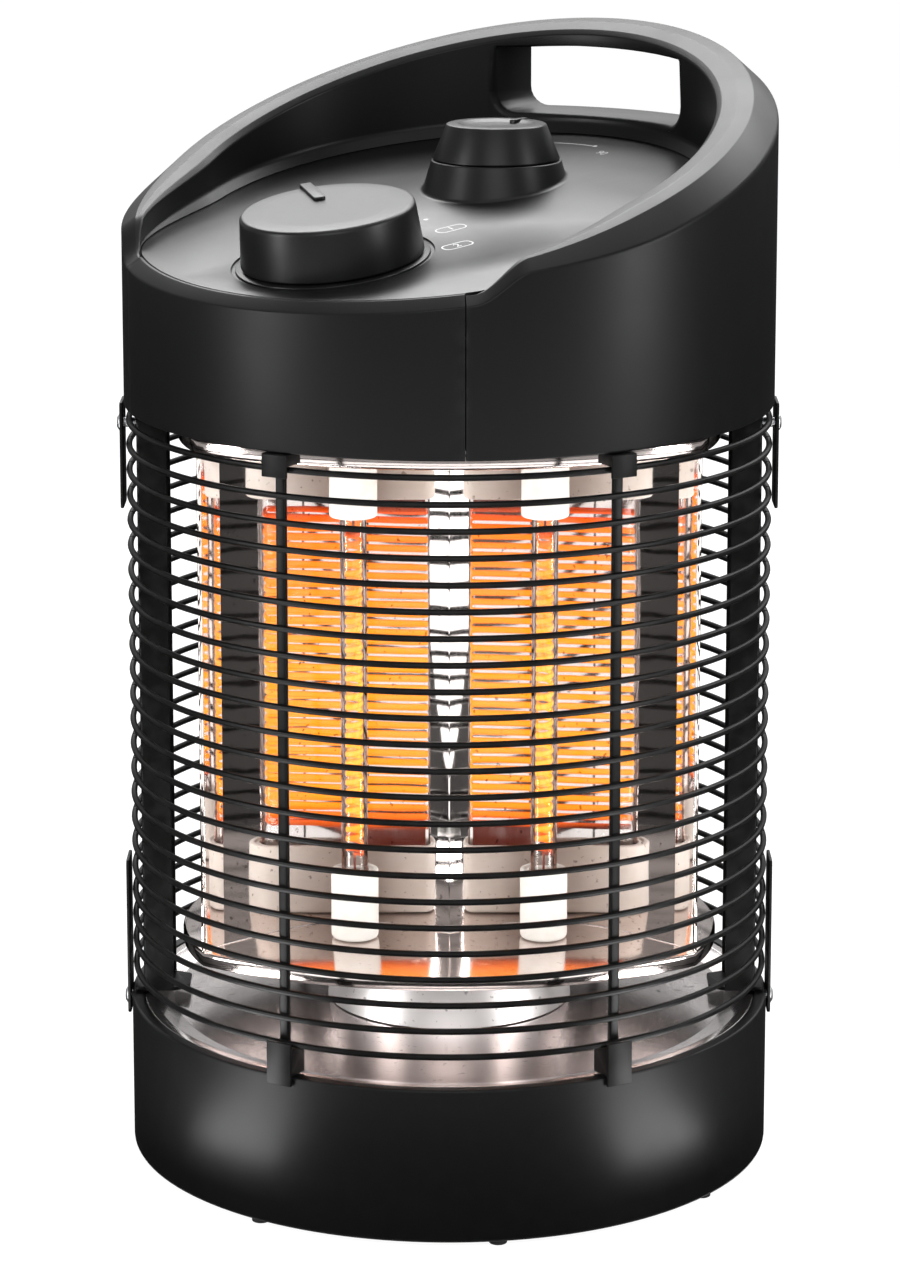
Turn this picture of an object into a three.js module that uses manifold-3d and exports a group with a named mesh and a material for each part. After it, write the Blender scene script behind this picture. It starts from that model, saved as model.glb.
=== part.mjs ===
// A small upright patio heater. Two quartz tubes stand in front of a polished reflector, inside a round wire
// guard, between a black base and a black control head with a carrying handle. Lengths are in millimetres.
// +Z is up, the control panel slopes down to the front at -Y, and the origin is on the axis at the floor.
// A bearing is an angle about the axis, seen from above: 0 at the front, and growing towards +X.
import * as THREE from "three";
import { mergeVertices } from "three/addons/utils/BufferGeometryUtils.js";
import Module from "manifold-3d";

const wasm = await Module();
wasm.setup();

// Clearances
const seatGap = 0.3; // between a piece and what carries it
const shaftClearance = 0.3; // between a shaft and its hole, on the radius
const overrun = 4; // how far a cutting tool runs past the faces that it cuts
const weldDepth = 0.6; // how far a welded or moulded-on part reaches into its neighbour

// Housing
const housingRadius = 120;
const housingWall = 2.5;
const footHeight = 2;
const baseHeight = 56.9;
const guardOpening = 226; // from the top of the base to the lower edge of the head
const baseTop = footHeight + baseHeight;
const headBottom = baseTop + guardOpening;
const wallInner = housingRadius - housingWall;

// Lamp unit, guard and posts face this bearing, which is also where the reflector points at rest
const lampBearing = 36.3;

// Base
const baseEdge = 1.5; // chamfer at the casing's lower and upper edge
const flangeWidth = 6.5; // inward flange that carries the base plate
const flangeThickness = 2;
const rimWidth = 4.3; // width of the rim on top of the base
const rimDepth = 1.5; // how deep the dish sits in that rim
const ledgeWidth = 2.7; // ledge under the dish's edge
const ledgeThickness = 1.8;
const plateThickness = 1.5;
const footCount = 8;
const footRadius = 3.3;
const footInset = 5.2; // from the casing to a foot's centre
const plateBottom = footHeight + flangeThickness + seatGap;
const plateTop = plateBottom + plateThickness;

// Dish and pedestal
const dishSheet = 0.8;
const dishDepth = 2.6; // from the dish's edge down to its floor
const dishFlangeWidth = 3.4;
const dishSlopeWidth = 8; // between the dish's edge and its floor
const dishHole = 10;
const dishRadius = housingRadius - rimWidth - seatGap;
const dishFloorRadius = dishRadius - dishFlangeWidth - dishSlopeWidth;
const dishTop = baseTop - rimDepth + seatGap + dishSheet;
const dishFloor = dishTop - dishDepth;
const pedestalRadius = 46;
const pedestalSheet = 1;
const pedestalCrown = 34; // radius of its flat top
const pedestalWaist = 40;
const pedestalWaistRise = 20;
const pivotRadius = 4;

// Discs above and below the tubes
const discSheet = 1;
const discEdge = 1;
const discRimHeight = 5; // of the rim, bent away from the lamp unit's middle
const lowerDiscRise = 25.7; // from the base's top to the lower disc's face
const upperDiscDrop = 13; // from the head's lower edge down to the upper disc's face
const lowerDiscFace = baseTop + lowerDiscRise;
const upperDiscFace = headBottom - upperDiscDrop;

// Wire guard
const ringCount = 23;
const wire = 2.3;
const guardInset = 1.8; // from the housing's surface in to the middle of the wire
const firstRingDrop = 6; // from the head's lower edge to the highest ring
const lastRingRise = 11.8; // from the base's top to the lowest ring
const guardSplit = 1.2; // gap between the front and the rear half
const barBearing = 30; // of a bar, from the middle of its half
const barWidth = 3.6;
const barDepth = 2.3;
const barInset = 1.65; // from the middle of the wire in to the middle of the bar
const guardRadius = housingRadius - guardInset;
const firstRing = headBottom - firstRingDrop;
const lastRing = baseTop + lastRingRise;
const ringPitch = (firstRing - lastRing) / (ringCount - 1);

// Posts, brackets, clips and screws
const postInset = 2.9; // from the middle of the wire in to the post's outer face
const postDepth = 11.2;
const postWidth = 20;
const postSheet = 1.4;
const postFootReach = 6; // of the bent foot, inwards past the channel
const postFootLap = 3.2; // of the bent foot, outwards over the base's rim
const postOuter = guardRadius - postInset;
const postInner = postOuter - postDepth;
const postBottom = baseTop + seatGap;
const bracketWidth = 16;
const bracketSheet = 1.2;
const upperBracketHeight = 40;
const lowerBracketHeight = 60;
const lowerBracketLap = 9.3; // over the base's outer face
const bracketInner = housingRadius + seatGap;
const screwHeadRadius = 3.1;
const screwHeadHeight = 1.4;
const screwRadius = 1.8;
const screwReach = 8.5; // of the shank, in from the bracket
const upperScrewDrop = 9; // below the head's lower edge
const lowerScrewDrop = 4.4; // below the base's top
const clipWidth = 10;
const clipSheet = 1.2;
const clipReach = 8.5; // of a clip's hook, inwards past its plate
const upperClipHeight = 8.3;
const lowerClipHeight = 15.9;
const lowerClipLap = 3.1; // over the base's outer face
const discClearance = 3.6; // between the posts and the discs that turn past them
const discFront = 72; // from the axis forwards to the middle of their flatter front
const discFrontRadius = 157;
const discRadius = postInner - discClearance;

// Reflector
const reflectorSheet = 0.8;
const reflectorLip = 1.6;
const tubeSpacing = 70.3; // between the two tubes
const tubeForward = 23; // from the axis to the tubes
const troughForward = 4.6; // from the axis to a trough's deepest line
const ridgeForward = 19.1; // and to the ridge in the middle
const troughInner = 7; // from the axis sideways to the trough's inner edge
const troughOuter = 66.5; // and to its outer edge
const wingReach = 17; // of the flat wing beside a trough, sideways
const wingForward = 15; // and forwards
const sideReach = 6.3; // of the steeper strip beside the wing, sideways
const sideForward = 8.5; // and forwards
const troughSteps = 6;

// Tubes
const quartzRadius = 4.9;
const quartzWall = 0.9;
const quartzSeat = 4; // how deep a tube sits in its caps
const capRadius = 8.8;
const capEdge = 1.6;
const capHeight = 26.3;
const socketClearance = 0.35;
const coilRadius = 3; // to the middle of the wire
const coilWire = 1;
const coilTurns = 20;
const coilStepsPerTurn = 8;
const coilSides = 5;
const coilLead = 8; // of straight wire at each end

// Top plate, bearing and gears
const lipInner = 3.8; // width of the inward lip that carries the top plate
const lipThickness = 1.7;
const topPlateSheet = 1.2;
const hubShaftRadius = 6;
const bushWall = 3.4;
const bushFlange = 3;
const bushFlangeHeight = 2;
const bushLength = 4;
const gearHeight = 6;
const gearTeeth = 16;
const knobOffset = 29.5; // from the axis back to the small knob
const gearAddendum = 1.3;
const gearDedendum = 1.9;
const toothRootShare = 0.56; // of one pitch, the width of a tooth at its root
const toothTipShare = 0.24;
const hubShaftOverGear = 3;
const knobShaftRadius = 4;
const knobShaftBelowPlate = 3;
const topPlateBottom = headBottom + lipThickness + seatGap;
const topPlateTop = topPlateBottom + topPlateSheet;
const gearBottom = topPlateTop + seatGap + bushFlangeHeight + seatGap;

// Head
const seamBearing = 39; // of the seams between the front cover and the rear shell
const seamGap = 0.4;
const shoulderStart = 1.4; // degrees past the seam where the shell starts to rise
const shoulderTurn = 9.6; // degrees over which it rises to its crest
const collarTurn = 39; // degrees past the seam over which the collar thickens
const panelRise = 72.4; // of the panel on the axis, above the head's lower edge
const panelTilt = 9.65; // degrees
const panelThickness = 2.5;
const crestRise = 93.3; // mean height of the crest above the head's lower edge
const crestSwing = 37.3; // how far it rises to the back and falls to the front
const crestLift = 1.3; // at the front and back over the sides
const collarThin = 5.5; // thickness at the seam
const collarThick = 22.8; // thickness over the rest
const collarSheet = 1.8;
const crestBevelThin = 4.5;
const crestBevelThick = 9.2;
const crestFlankThin = 3;
const crestFlankThick = 8;
const crestCrown = 0.8;
const crestRollThin = 0.4;
const crestRollThick = 2;
const crestSlope = 0.31; // rise of the crest for each unit towards the back
const collarBelowPanel = 1.5;
const filletReach = 3.5; // of the moulding at the foot of the collar, over the panel
const filletRise = 3.5;
const coverBevel = 4.5;
const coverFlank = 3;
const coverLip = 5.5; // thickness of the cover's top edge
const coverLipDepth = 2.5;
const panelZ = headBottom + panelRise;
const panelSlope = Math.tan(THREE.MathUtils.degToRad(panelTilt));

// Handle
const handleWidth = 84; // at the outer face
const handleHeight = 21.6;
const handleArch = 2; // rise of its upper edge at the middle
const handleRise = 106.9; // of its middle above the head's lower edge
const handleFlareX = 0.01; // share by which it is wider at the inner face
const handleFlareZ = 0.13; // share by which it is higher at the inner face
const handleFlareRise = 0.5; // how much higher its middle is at the inner face
const handleCorner = 7;
const handleWall = 3;
const handleTurn = 28; // degrees of the solid stretch to each side

// Large knob and its switch
const knobInset = 50.4; // from the housing's front to its middle
const knobForward = housingRadius - knobInset;
const knobLift = 0.8; // gap under the knob
const knobSkirtRadius = 32.8;
const knobTopRadius = 31.2;
const knobHeight = 18.5;
const knobEdge = 1.4;
const knobShell = 2;
const knobHubWall = 3;
const pointerInner = 9;
const pointerOuter = 30.4;
const pointerWidth = 4.4;
const pointerHeight = 1.2;
const pointerBearing = -52; // degrees clockwise from the back, at rest
const grooveRadius = 35.5;
const grooveWidth = 1.6;
const grooveDepth = 1;
const switchShaftRadius = 3;
const switchSize = 28;
const switchHeight = 18;
const switchBoreDepth = 8;
const shaftIntoKnob = 10;

// Small knob and its boss
const bossHeight = 8.3; // above the panel, at its middle
const bossTopRadius = 24.2;
const bossFootRadius = 26.6;
const smallKnobRadius = 23.8;
const smallKnobTopRadius = 18.5;
const smallKnobHeight = 13.3;
const smallKnobEdge = 1.3;
const smallKnobDish = 1;
const smallKnobShell = 2;
const smallPointerWidth = 2.4;
const smallPointerInner = 9;
const bossTop = panelZ + knobOffset * panelSlope + bossHeight;

// Small things in the base
const glandHeight = 22;
const glandRadius = 5.7;
const glandFlangeRadius = 8.5;
const glandFlange = 0.9;
const glandLength = 8;
const glandBore = 3.5;
const tiltSwitchSize = [22, 16, 14];
const tiltSwitchPlace = [42, 30];
const terminalSize = [42, 16, 12];
const terminalPlace = [-30, 42];

const largeSteps = 36;
const mediumSteps = 24;
const smallSteps = 12;
const halfRingSteps = 10;
const shoulderSteps = 5;
const thickeningSteps = 4;
const backSteps = 20;

const finishes = {
  blackPlastic: { color: 0x1a1a1b, roughness: 0.42, metalness: 0 },
  satinPlastic: { color: 0x303032, roughness: 0.35, metalness: 0 },
  blackPaint: { color: 0x121213, roughness: 0.5, metalness: 0.1 },
  rubber: { color: 0x161616, roughness: 0.85, metalness: 0 },
  polishedMetal: { color: 0xd9d9dc, roughness: 0.08, metalness: 1 },
  plainSteel: { color: 0x9c9fa3, roughness: 0.4, metalness: 1 },
  quartz: { color: 0xf2efea, roughness: 0.05, metalness: 0, transparent: true, opacity: 0.35 },
  glowingWire: { color: 0xff8a1e, roughness: 0.6, metalness: 0, emissive: 0xff5a00 },
  ceramic: { color: 0xf1ece4, roughness: 0.6, metalness: 0 },
  switchBody: { color: 0x2b2a28, roughness: 0.6, metalness: 0 },
  acetal: { color: 0xe6e2d8, roughness: 0.5, metalness: 0 },
};

const radians = THREE.MathUtils.degToRad;

// Joining and cutting

// The closed solid of a geometry, turned the right way out.
function solidOf(geometry) {
  const bare = new THREE.BufferGeometry();
  bare.setAttribute("position", geometry.getAttribute("position"));
  if (geometry.index) bare.setIndex(geometry.index);
  const merged = mergeVertices(bare, 1e-4);
  const source = merged.index.array;
  const kept = [];
  for (let i = 0; i < source.length; i += 3) {
    const [a, b, c] = [source[i], source[i + 1], source[i + 2]];
    if (a !== b && b !== c && c !== a) kept.push(a, b, c);
  }
  const build = (order) =>
    new wasm.Manifold(
      new wasm.Mesh({
        numProp: 3,
        vertProperties: new Float32Array(merged.attributes.position.array),
        triVerts: new Uint32Array(order),
      }),
    );
  const made = build(kept);
  return made.volume() < 0 ? build(kept.reverse()) : made;
}

function geometryOf(solid) {
  const data = solid.getMesh();
  const count = data.vertProperties.length / data.numProp;
  const positions = new Float32Array(count * 3);
  for (let i = 0; i < count; i++) {
    positions.set(data.vertProperties.subarray(i * data.numProp, i * data.numProp + 3), i * 3);
  }
  const geometry = new THREE.BufferGeometry();
  geometry.setAttribute("position", new THREE.BufferAttribute(positions, 3));
  geometry.setIndex(new THREE.BufferAttribute(new Uint32Array(data.triVerts), 1));
  geometry.computeVertexNormals();
  return geometry;
}

function addPiece(parent, name, solid, finish) {
  const mesh = new THREE.Mesh(geometryOf(solid), new THREE.MeshStandardMaterial(finishes[finish]));
  mesh.name = name;
  parent.add(mesh);
  return mesh;
}

// Shapes

// A body turned about the Z axis from an outline of [radius, height] points.
function turned(outline, steps) {
  const points = outline.map(([radius, height]) => new THREE.Vector2(radius, height));
  const closesOnAxis = outline[0][0] === 0 && outline[outline.length - 1][0] === 0;
  if (!closesOnAxis) points.push(points[0].clone());
  return solidOf(new THREE.LatheGeometry(points, steps).rotateX(Math.PI / 2));
}

function onBearing(radius, bearing, height) {
  const angle = radians(bearing);
  return new THREE.Vector3(radius * Math.sin(angle), -radius * Math.cos(angle), height);
}

// Evenly spaced bearings, with both ends.
function stretch(from, to, steps) {
  return Array.from({ length: steps + 1 }, (_, i) => from + ((to - from) * i) / steps);
}

// A closed body swept about the Z axis through a list of bearings. outlineAt gives its section at one of
// them as [radius, height] points, with the same number of points everywhere.
function swept(outlineAt, bearings) {
  const steps = bearings.length - 1;
  const faces = [];
  const sections = bearings.map(outlineAt);
  const positions = sections.flatMap((section, i) =>
    section.flatMap(([radius, height]) => onBearing(radius, bearings[i], height).toArray()),
  );
  const flat = sections[0].map(([radius, height]) => new THREE.Vector2(radius, height));
  const turn = THREE.ShapeUtils.area(flat) > 0 ? 1 : -1;
  const count = flat.length;
  const face = (a, b, c) => faces.push(...(turn > 0 ? [a, b, c] : [a, c, b]));
  for (let i = 0; i < steps; i++) {
    for (let j = 0; j < count; j++) {
      const next = (j + 1) % count;
      const [low, high] = [i * count, (i + 1) * count];
      face(low + j, high + j, high + next);
      face(low + j, high + next, low + next);
    }
  }
  const last = steps * count;
  for (const section of [0, last]) {
    const ring = sections[section / count].map(([radius, height]) => new THREE.Vector2(radius, height));
    for (const [a, b, c] of THREE.ShapeUtils.triangulateShape(ring, [])) {
      const counter = THREE.ShapeUtils.area([ring[a], ring[b], ring[c]]) > 0;
      const outward = counter === (section === 0);
      const [second, third] = outward ? [b, c] : [c, b];
      faces.push(section + a, section + second, section + third);
    }
  }
  const geometry = new THREE.BufferGeometry();
  geometry.setAttribute("position", new THREE.Float32BufferAttribute(positions, 3));
  geometry.setIndex(faces);
  return solidOf(geometry);
}

function block(width, depth, height, x, y, bottom) {
  return solidOf(new THREE.BoxGeometry(width, depth, height).translate(x, y, bottom + height / 2));
}

// A flat outline of [x, y] points, extruded upwards.
function extruded(outline, height, bottom) {
  const shape = new THREE.Shape(outline.map(([x, y]) => new THREE.Vector2(x, y)));
  const geometry = new THREE.ExtrudeGeometry(shape, { depth: height, bevelEnabled: false });
  return solidOf(geometry.translate(0, 0, bottom));
}

function rod(radius, length, bottom, steps) {
  return turned(
    [
      [0, bottom],
      [radius, bottom],
      [radius, bottom + length],
      [0, bottom + length],
    ],
    steps,
  );
}

// Moves a solid by a three.js matrix.
function placed(solid, matrix) {
  return solidOf(geometryOf(solid).applyMatrix4(matrix));
}

function smooth(from, to, value) {
  return THREE.MathUtils.smoothstep(value, from, to);
}

function blend(from, to, share) {
  return from + (to - from) * share;
}

// Base

function makeBaseHousing() {
  const ledgeTop = baseTop - rimDepth;
  const casing = turned(
    [
      [wallInner - flangeWidth, footHeight],
      [housingRadius - baseEdge, footHeight],
      [housingRadius, footHeight + baseEdge],
      [housingRadius, baseTop - baseEdge],
      [housingRadius - baseEdge, baseTop],
      [housingRadius - rimWidth, baseTop],
      [housingRadius - rimWidth, ledgeTop],
      [housingRadius - rimWidth - ledgeWidth, ledgeTop],
      [housingRadius - rimWidth - ledgeWidth, ledgeTop - ledgeThickness],
      [wallInner, ledgeTop - ledgeThickness - housingWall],
      [wallInner, footHeight + flangeThickness],
      [wallInner - flangeWidth, footHeight + flangeThickness],
    ],
    largeSteps,
  );
  const hole = rod(glandRadius + shaftClearance, housingWall + 2 * overrun, 0, smallSteps);
  const toWall = new THREE.Matrix4()
    .makeTranslation(0, wallInner - overrun, glandHeight)
    .multiply(new THREE.Matrix4().makeRotationX(-Math.PI / 2));
  const screw = screwHole(baseTop - lowerScrewDrop);
  const [right, left] = [lampBearing, lampBearing + 180].map((bearing) =>
    placed(screw, new THREE.Matrix4().makeRotationZ(radians(bearing))),
  );
  return casing.subtract(placed(hole, toWall)).subtract(right).subtract(left);
}

function makeBasePlate() {
  return rod(wallInner - seatGap, plateThickness, plateBottom, largeSteps);
}

function makeFoot(index) {
  const foot = rod(footRadius, footHeight, 0, smallSteps);
  const place = onBearing(housingRadius - footInset, (360 / footCount) * index, 0);
  return placed(foot, new THREE.Matrix4().makeTranslation(place.x, place.y, 0));
}

function makeBasePan() {
  const flangeInner = dishRadius - dishFlangeWidth;
  return turned(
    [
      [dishHole, dishFloor - dishSheet],
      [dishFloorRadius, dishFloor - dishSheet],
      [flangeInner, dishTop - dishSheet],
      [dishRadius, dishTop - dishSheet],
      [dishRadius, dishTop],
      [flangeInner, dishTop],
      [dishFloorRadius, dishFloor],
      [dishHole, dishFloor],
    ],
    largeSteps,
  );
}

function makePedestal() {
  const bottom = dishFloor + seatGap;
  const top = lowerDiscFace - discSheet - seatGap;
  const waist = bottom + pedestalWaistRise;
  return turned(
    [
      [pedestalRadius - pedestalSheet, bottom],
      [pedestalRadius, bottom],
      [pedestalWaist, waist],
      [pedestalCrown, top],
      [pivotRadius, top],
      [pivotRadius, lowerDiscFace],
      [0, lowerDiscFace],
      [0, top - pedestalSheet],
      [pedestalCrown - pedestalSheet, top - pedestalSheet],
      [pedestalWaist - pedestalSheet, waist],
    ],
    mediumSteps,
  );
}

function makeCordGland() {
  const gland = turned(
    [
      [glandBore, -glandLength],
      [glandRadius, -glandLength],
      [glandRadius, seatGap],
      [glandFlangeRadius, seatGap],
      [glandFlangeRadius, seatGap + glandFlange],
      [glandBore, seatGap + glandFlange],
    ],
    smallSteps,
  );
  const toWall = new THREE.Matrix4()
    .makeTranslation(0, housingRadius, glandHeight)
    .multiply(new THREE.Matrix4().makeRotationX(-Math.PI / 2));
  return placed(gland, toWall);
}

// Guard, posts and what holds them. Here the front of the lamp unit is at -Y.

// One half of the wire guard, in front or at the back: rings with two flat bars welded inside them.
function makeGuardHalf(middle) {
  const halfTurn = 90 - THREE.MathUtils.radToDeg(guardSplit / 2 / guardRadius);
  const half = wire / 2;
  let guard = null;
  for (let i = 0; i < ringCount; i++) {
    const height = lastRing + i * ringPitch;
    const section = [
      [guardRadius - half, height - half],
      [guardRadius + half, height - half],
      [guardRadius + half, height + half],
      [guardRadius - half, height + half],
    ];
    const ring = swept(() => section, stretch(middle - halfTurn, middle + halfTurn, halfRingSteps));
    guard = guard ? guard.add(ring) : ring;
  }
  const barHeight = firstRing - lastRing + wire;
  for (const side of [-1, 1]) {
    const bearing = middle + side * barBearing;
    const bar = block(barWidth, barDepth, barHeight, 0, -(guardRadius - barInset), lastRing - half);
    guard = guard.add(placed(bar, new THREE.Matrix4().makeRotationZ(radians(bearing))));
  }
  return guard;
}

// A channel with its open side inwards, and a foot bent inwards over the dish.
function makePost(side) {
  const half = postWidth / 2;
  const channel = extruded(
    [
      [postInner, -half],
      [postOuter, -half],
      [postOuter, half],
      [postInner, half],
      [postInner, half - postSheet],
      [postOuter - postSheet, half - postSheet],
      [postOuter - postSheet, postSheet - half],
      [postInner, postSheet - half],
    ],
    topPlateBottom - seatGap - postBottom,
    postBottom,
  );
  const footLength = postFootReach + postDepth + postFootLap;
  const footMiddle = postOuter + postFootLap - footLength / 2;
  const whole = channel.add(block(footLength, postWidth, postSheet, footMiddle, 0, postBottom));
  const post = whole.subtract(screwHole(headBottom - upperScrewDrop));
  return side > 0 ? post : placed(post, new THREE.Matrix4().makeRotationZ(Math.PI));
}

// The hole for a bracket screw, through a post's web or a bracket on the +X side.
function screwHole(height) {
  const reach = screwReach + 2 * overrun;
  const hole = rod(screwRadius + shaftClearance, reach, bracketInner - screwReach, smallSteps);
  const sideways = new THREE.Matrix4()
    .makeTranslation(0, 0, height)
    .multiply(new THREE.Matrix4().makeRotationY(Math.PI / 2));
  return placed(hole, sideways);
}

function makeBracket(side, upper) {
  const height = upper ? upperBracketHeight : lowerBracketHeight;
  const bottom = upper ? headBottom - seatGap - height : baseTop - lowerBracketLap;
  const screwAt = upper ? headBottom - upperScrewDrop : baseTop - lowerScrewDrop;
  const plate = block(bracketSheet, bracketWidth, height, bracketInner + bracketSheet / 2, 0, bottom);
  const drilled = plate.subtract(screwHole(screwAt));
  return side > 0 ? drilled : placed(drilled, new THREE.Matrix4().makeRotationZ(Math.PI));
}

function makeBracketScrew(side, upper) {
  const face = bracketInner + bracketSheet;
  const screwAt = upper ? headBottom - upperScrewDrop : baseTop - lowerScrewDrop;
  const screw = turned(
    [
      [0, face - screwReach],
      [screwRadius, face - screwReach],
      [screwRadius, face],
      [screwHeadRadius, face],
      [screwHeadRadius, face + screwHeadHeight / 2],
      [screwRadius, face + screwHeadHeight],
      [0, face + screwHeadHeight],
    ],
    smallSteps,
  );
  const sideways = new THREE.Matrix4()
    .makeRotationZ(side > 0 ? 0 : Math.PI)
    .multiply(new THREE.Matrix4().makeTranslation(0, 0, screwAt))
    .multiply(new THREE.Matrix4().makeRotationY(Math.PI / 2));
  return placed(screw, sideways);
}

// A clip's outline is [radius, height]; it is extruded across its width and turned to its bar.
function makeClip(bearing, upper) {
  const bottomOfRings = lastRing - wire / 2 - seatGap;
  const topOfRings = firstRing + wire / 2 + seatGap;
  const plateInner = upper ? bracketInner : housingRadius + seatGap;
  const plateOuter = plateInner + clipSheet;
  const hookInner = plateInner - clipReach;
  const outline = upper
    ? [
        [plateInner, headBottom - upperClipHeight - seatGap],
        [plateOuter, headBottom - upperClipHeight - seatGap],
        [plateOuter, headBottom - seatGap],
        [hookInner, headBottom - seatGap],
        [hookInner, topOfRings],
        [plateInner, topOfRings],
      ]
    : [
        [plateInner, baseTop - lowerClipLap],
        [plateOuter, baseTop - lowerClipLap],
        [plateOuter, baseTop - lowerClipLap + lowerClipHeight],
        [plateInner, baseTop - lowerClipLap + lowerClipHeight],
        [plateInner, bottomOfRings],
        [hookInner, bottomOfRings],
        [hookInner, baseTop + seatGap],
        [plateInner, baseTop + seatGap],
      ];
  const clip = extruded(outline, clipWidth, -clipWidth / 2);
  const upright = new THREE.Matrix4()
    .makeRotationZ(radians(bearing - 90))
    .multiply(new THREE.Matrix4().makeRotationX(Math.PI / 2));
  return placed(clip, upright);
}

// Lamp unit

// A disc with a bent rim, trimmed at the front by a wider arc. side is 1 with the face on top and -1 with
// it below. The form and its hollow are each the overlap of two round blanks. The second blank is turned
// about the middle of the front's arc.
function makeDisc(face, side) {
  const foot = face - side * discRimHeight;
  const towardsBack = new THREE.Matrix4().makeTranslation(0, discFrontRadius - discFront, 0);
  const blank = (radius, from, to, steps) =>
    turned(
      [
        [0, from],
        [radius - discEdge, from],
        [radius, from - side * discEdge],
        [radius, to],
        [0, to],
      ],
      steps,
    );
  const overlap = (inset, from, to) => {
    const front = placed(blank(discFrontRadius - inset, from, to, largeSteps * 2), towardsBack);
    return blank(discRadius - inset, from, to, largeSteps).intersect(front);
  };
  const hollow = overlap(discSheet, face - side * discSheet, foot - side * overrun);
  const hole = rod(pivotRadius + shaftClearance, discRimHeight * 4, face - discRimHeight * 2, mediumSteps);
  return overlap(0, face, foot).subtract(hollow).subtract(hole);
}

// Half of the reflector's section, from the middle ridge out to the lip, as [x, y] points.
function reflectorLine() {
  const tubeX = tubeSpacing / 2;
  const focus = tubeForward - troughForward;
  const line = [[0, -ridgeForward]];
  for (let i = 0; i <= troughSteps; i++) {
    const x = troughInner + ((troughOuter - troughInner) * i) / troughSteps;
    line.push([x, -troughForward - (x - tubeX) ** 2 / (4 * focus)]);
  }
  for (const [sideways, forwards] of [
    [wingReach, wingForward],
    [sideReach, sideForward],
    [reflectorLip, 0],
  ]) {
    const [x, y] = line[line.length - 1];
    line.push([x + sideways, y - forwards]);
  }
  return line;
}

function makeReflector() {
  const right = reflectorLine();
  const front = [...right.slice(1).reverse().map(([x, y]) => [-x, y]), ...right];
  const back = front.map(([x, y]) => [x, y + reflectorSheet]).reverse();
  const bottom = lowerDiscFace + seatGap;
  return extruded([...front, ...back], upperDiscFace - seatGap - bottom, bottom);
}

function makeCap(x, upper) {
  const bottom = upper ? upperDiscFace - seatGap - capHeight : lowerDiscFace + seatGap;
  const mouth = upper ? bottom : bottom + capHeight;
  const inwards = upper ? 1 : -1;
  const far = mouth + inwards * capHeight;
  const floor = mouth + inwards * (quartzSeat + seatGap);
  const cap = turned(
    [
      [0, far],
      [capRadius - capEdge, far],
      [capRadius, far - inwards * capEdge],
      [capRadius, mouth + inwards * capEdge],
      [capRadius - capEdge, mouth],
      [quartzRadius + socketClearance, mouth],
      [quartzRadius + socketClearance, floor],
      [0, floor],
    ],
    smallSteps,
  );
  return placed(cap, new THREE.Matrix4().makeTranslation(x, -tubeForward, 0));
}

const tubeBottom = lowerDiscFace + seatGap + capHeight - quartzSeat;
const tubeTop = upperDiscFace - seatGap - capHeight + quartzSeat;

function makeQuartzTube(x) {
  const tube = turned(
    [
      [quartzRadius - quartzWall, tubeBottom],
      [quartzRadius, tubeBottom],
      [quartzRadius, tubeTop],
      [quartzRadius - quartzWall, tubeTop],
    ],
    smallSteps,
  );
  return placed(tube, new THREE.Matrix4().makeTranslation(x, -tubeForward, 0));
}

// The wire of a coil: a straight lead on the axis, the turns, and another lead.
class CoilLine extends THREE.Curve {
  constructor(points) {
    super();
    this.points = points;
  }

  getPoint(share, target = new THREE.Vector3()) {
    const place = share * (this.points.length - 1);
    const index = Math.min(Math.floor(place), this.points.length - 2);
    return target.lerpVectors(this.points[index], this.points[index + 1], place - index);
  }

  getPointAt(share, target) {
    return this.getPoint(share, target);
  }

  getTangent(share, target = new THREE.Vector3()) {
    const step = 1 / (this.points.length - 1);
    const before = this.getPoint(Math.max(share - step, 0));
    const after = this.getPoint(Math.min(share + step, 1));
    return target.subVectors(after, before).normalize();
  }

  getTangentAt(share, target) {
    return this.getTangent(share, target);
  }
}

function coilPoints() {
  const bottom = tubeBottom + seatGap;
  const top = tubeTop - seatGap;
  const turnsBottom = bottom + coilLead;
  const turnsHeight = top - coilLead - turnsBottom;
  const steps = coilTurns * coilStepsPerTurn;
  const points = [new THREE.Vector3(0, 0, bottom), new THREE.Vector3(0, 0, bottom + coilLead / 2)];
  for (let i = 0; i <= steps; i++) {
    const angle = (2 * Math.PI * i) / coilStepsPerTurn;
    const height = turnsBottom + (turnsHeight * i) / steps;
    points.push(new THREE.Vector3(coilRadius * Math.cos(angle), coilRadius * Math.sin(angle), height));
  }
  points.push(new THREE.Vector3(0, 0, top - coilLead / 2), new THREE.Vector3(0, 0, top));
  return points;
}

// The least gap between two turns, measured on the points of the line that are half a turn or more apart.
function coilGap(points) {
  let least = Infinity;
  for (let i = 0; i < points.length; i++) {
    for (let j = i + coilStepsPerTurn / 2; j < points.length; j++) {
      least = Math.min(least, points[i].distanceTo(points[j]));
    }
  }
  return least - coilWire;
}

function makeCoil(x) {
  const points = coilPoints();
  const section = new THREE.Shape();
  for (let i = 0; i < coilSides; i++) {
    const angle = (2 * Math.PI * i) / coilSides;
    const [across, along] = [Math.cos(angle), Math.sin(angle)].map((share) => (share * coilWire) / 2);
    if (i === 0) section.moveTo(across, along);
    else section.lineTo(across, along);
  }
  section.closePath();
  const geometry = new THREE.ExtrudeGeometry(section, {
    steps: points.length - 1,
    extrudePath: new CoilLine(points),
    bevelEnabled: false,
  });
  return solidOf(geometry.translate(x, -tubeForward, 0));
}

// Bearing and gears

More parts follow.
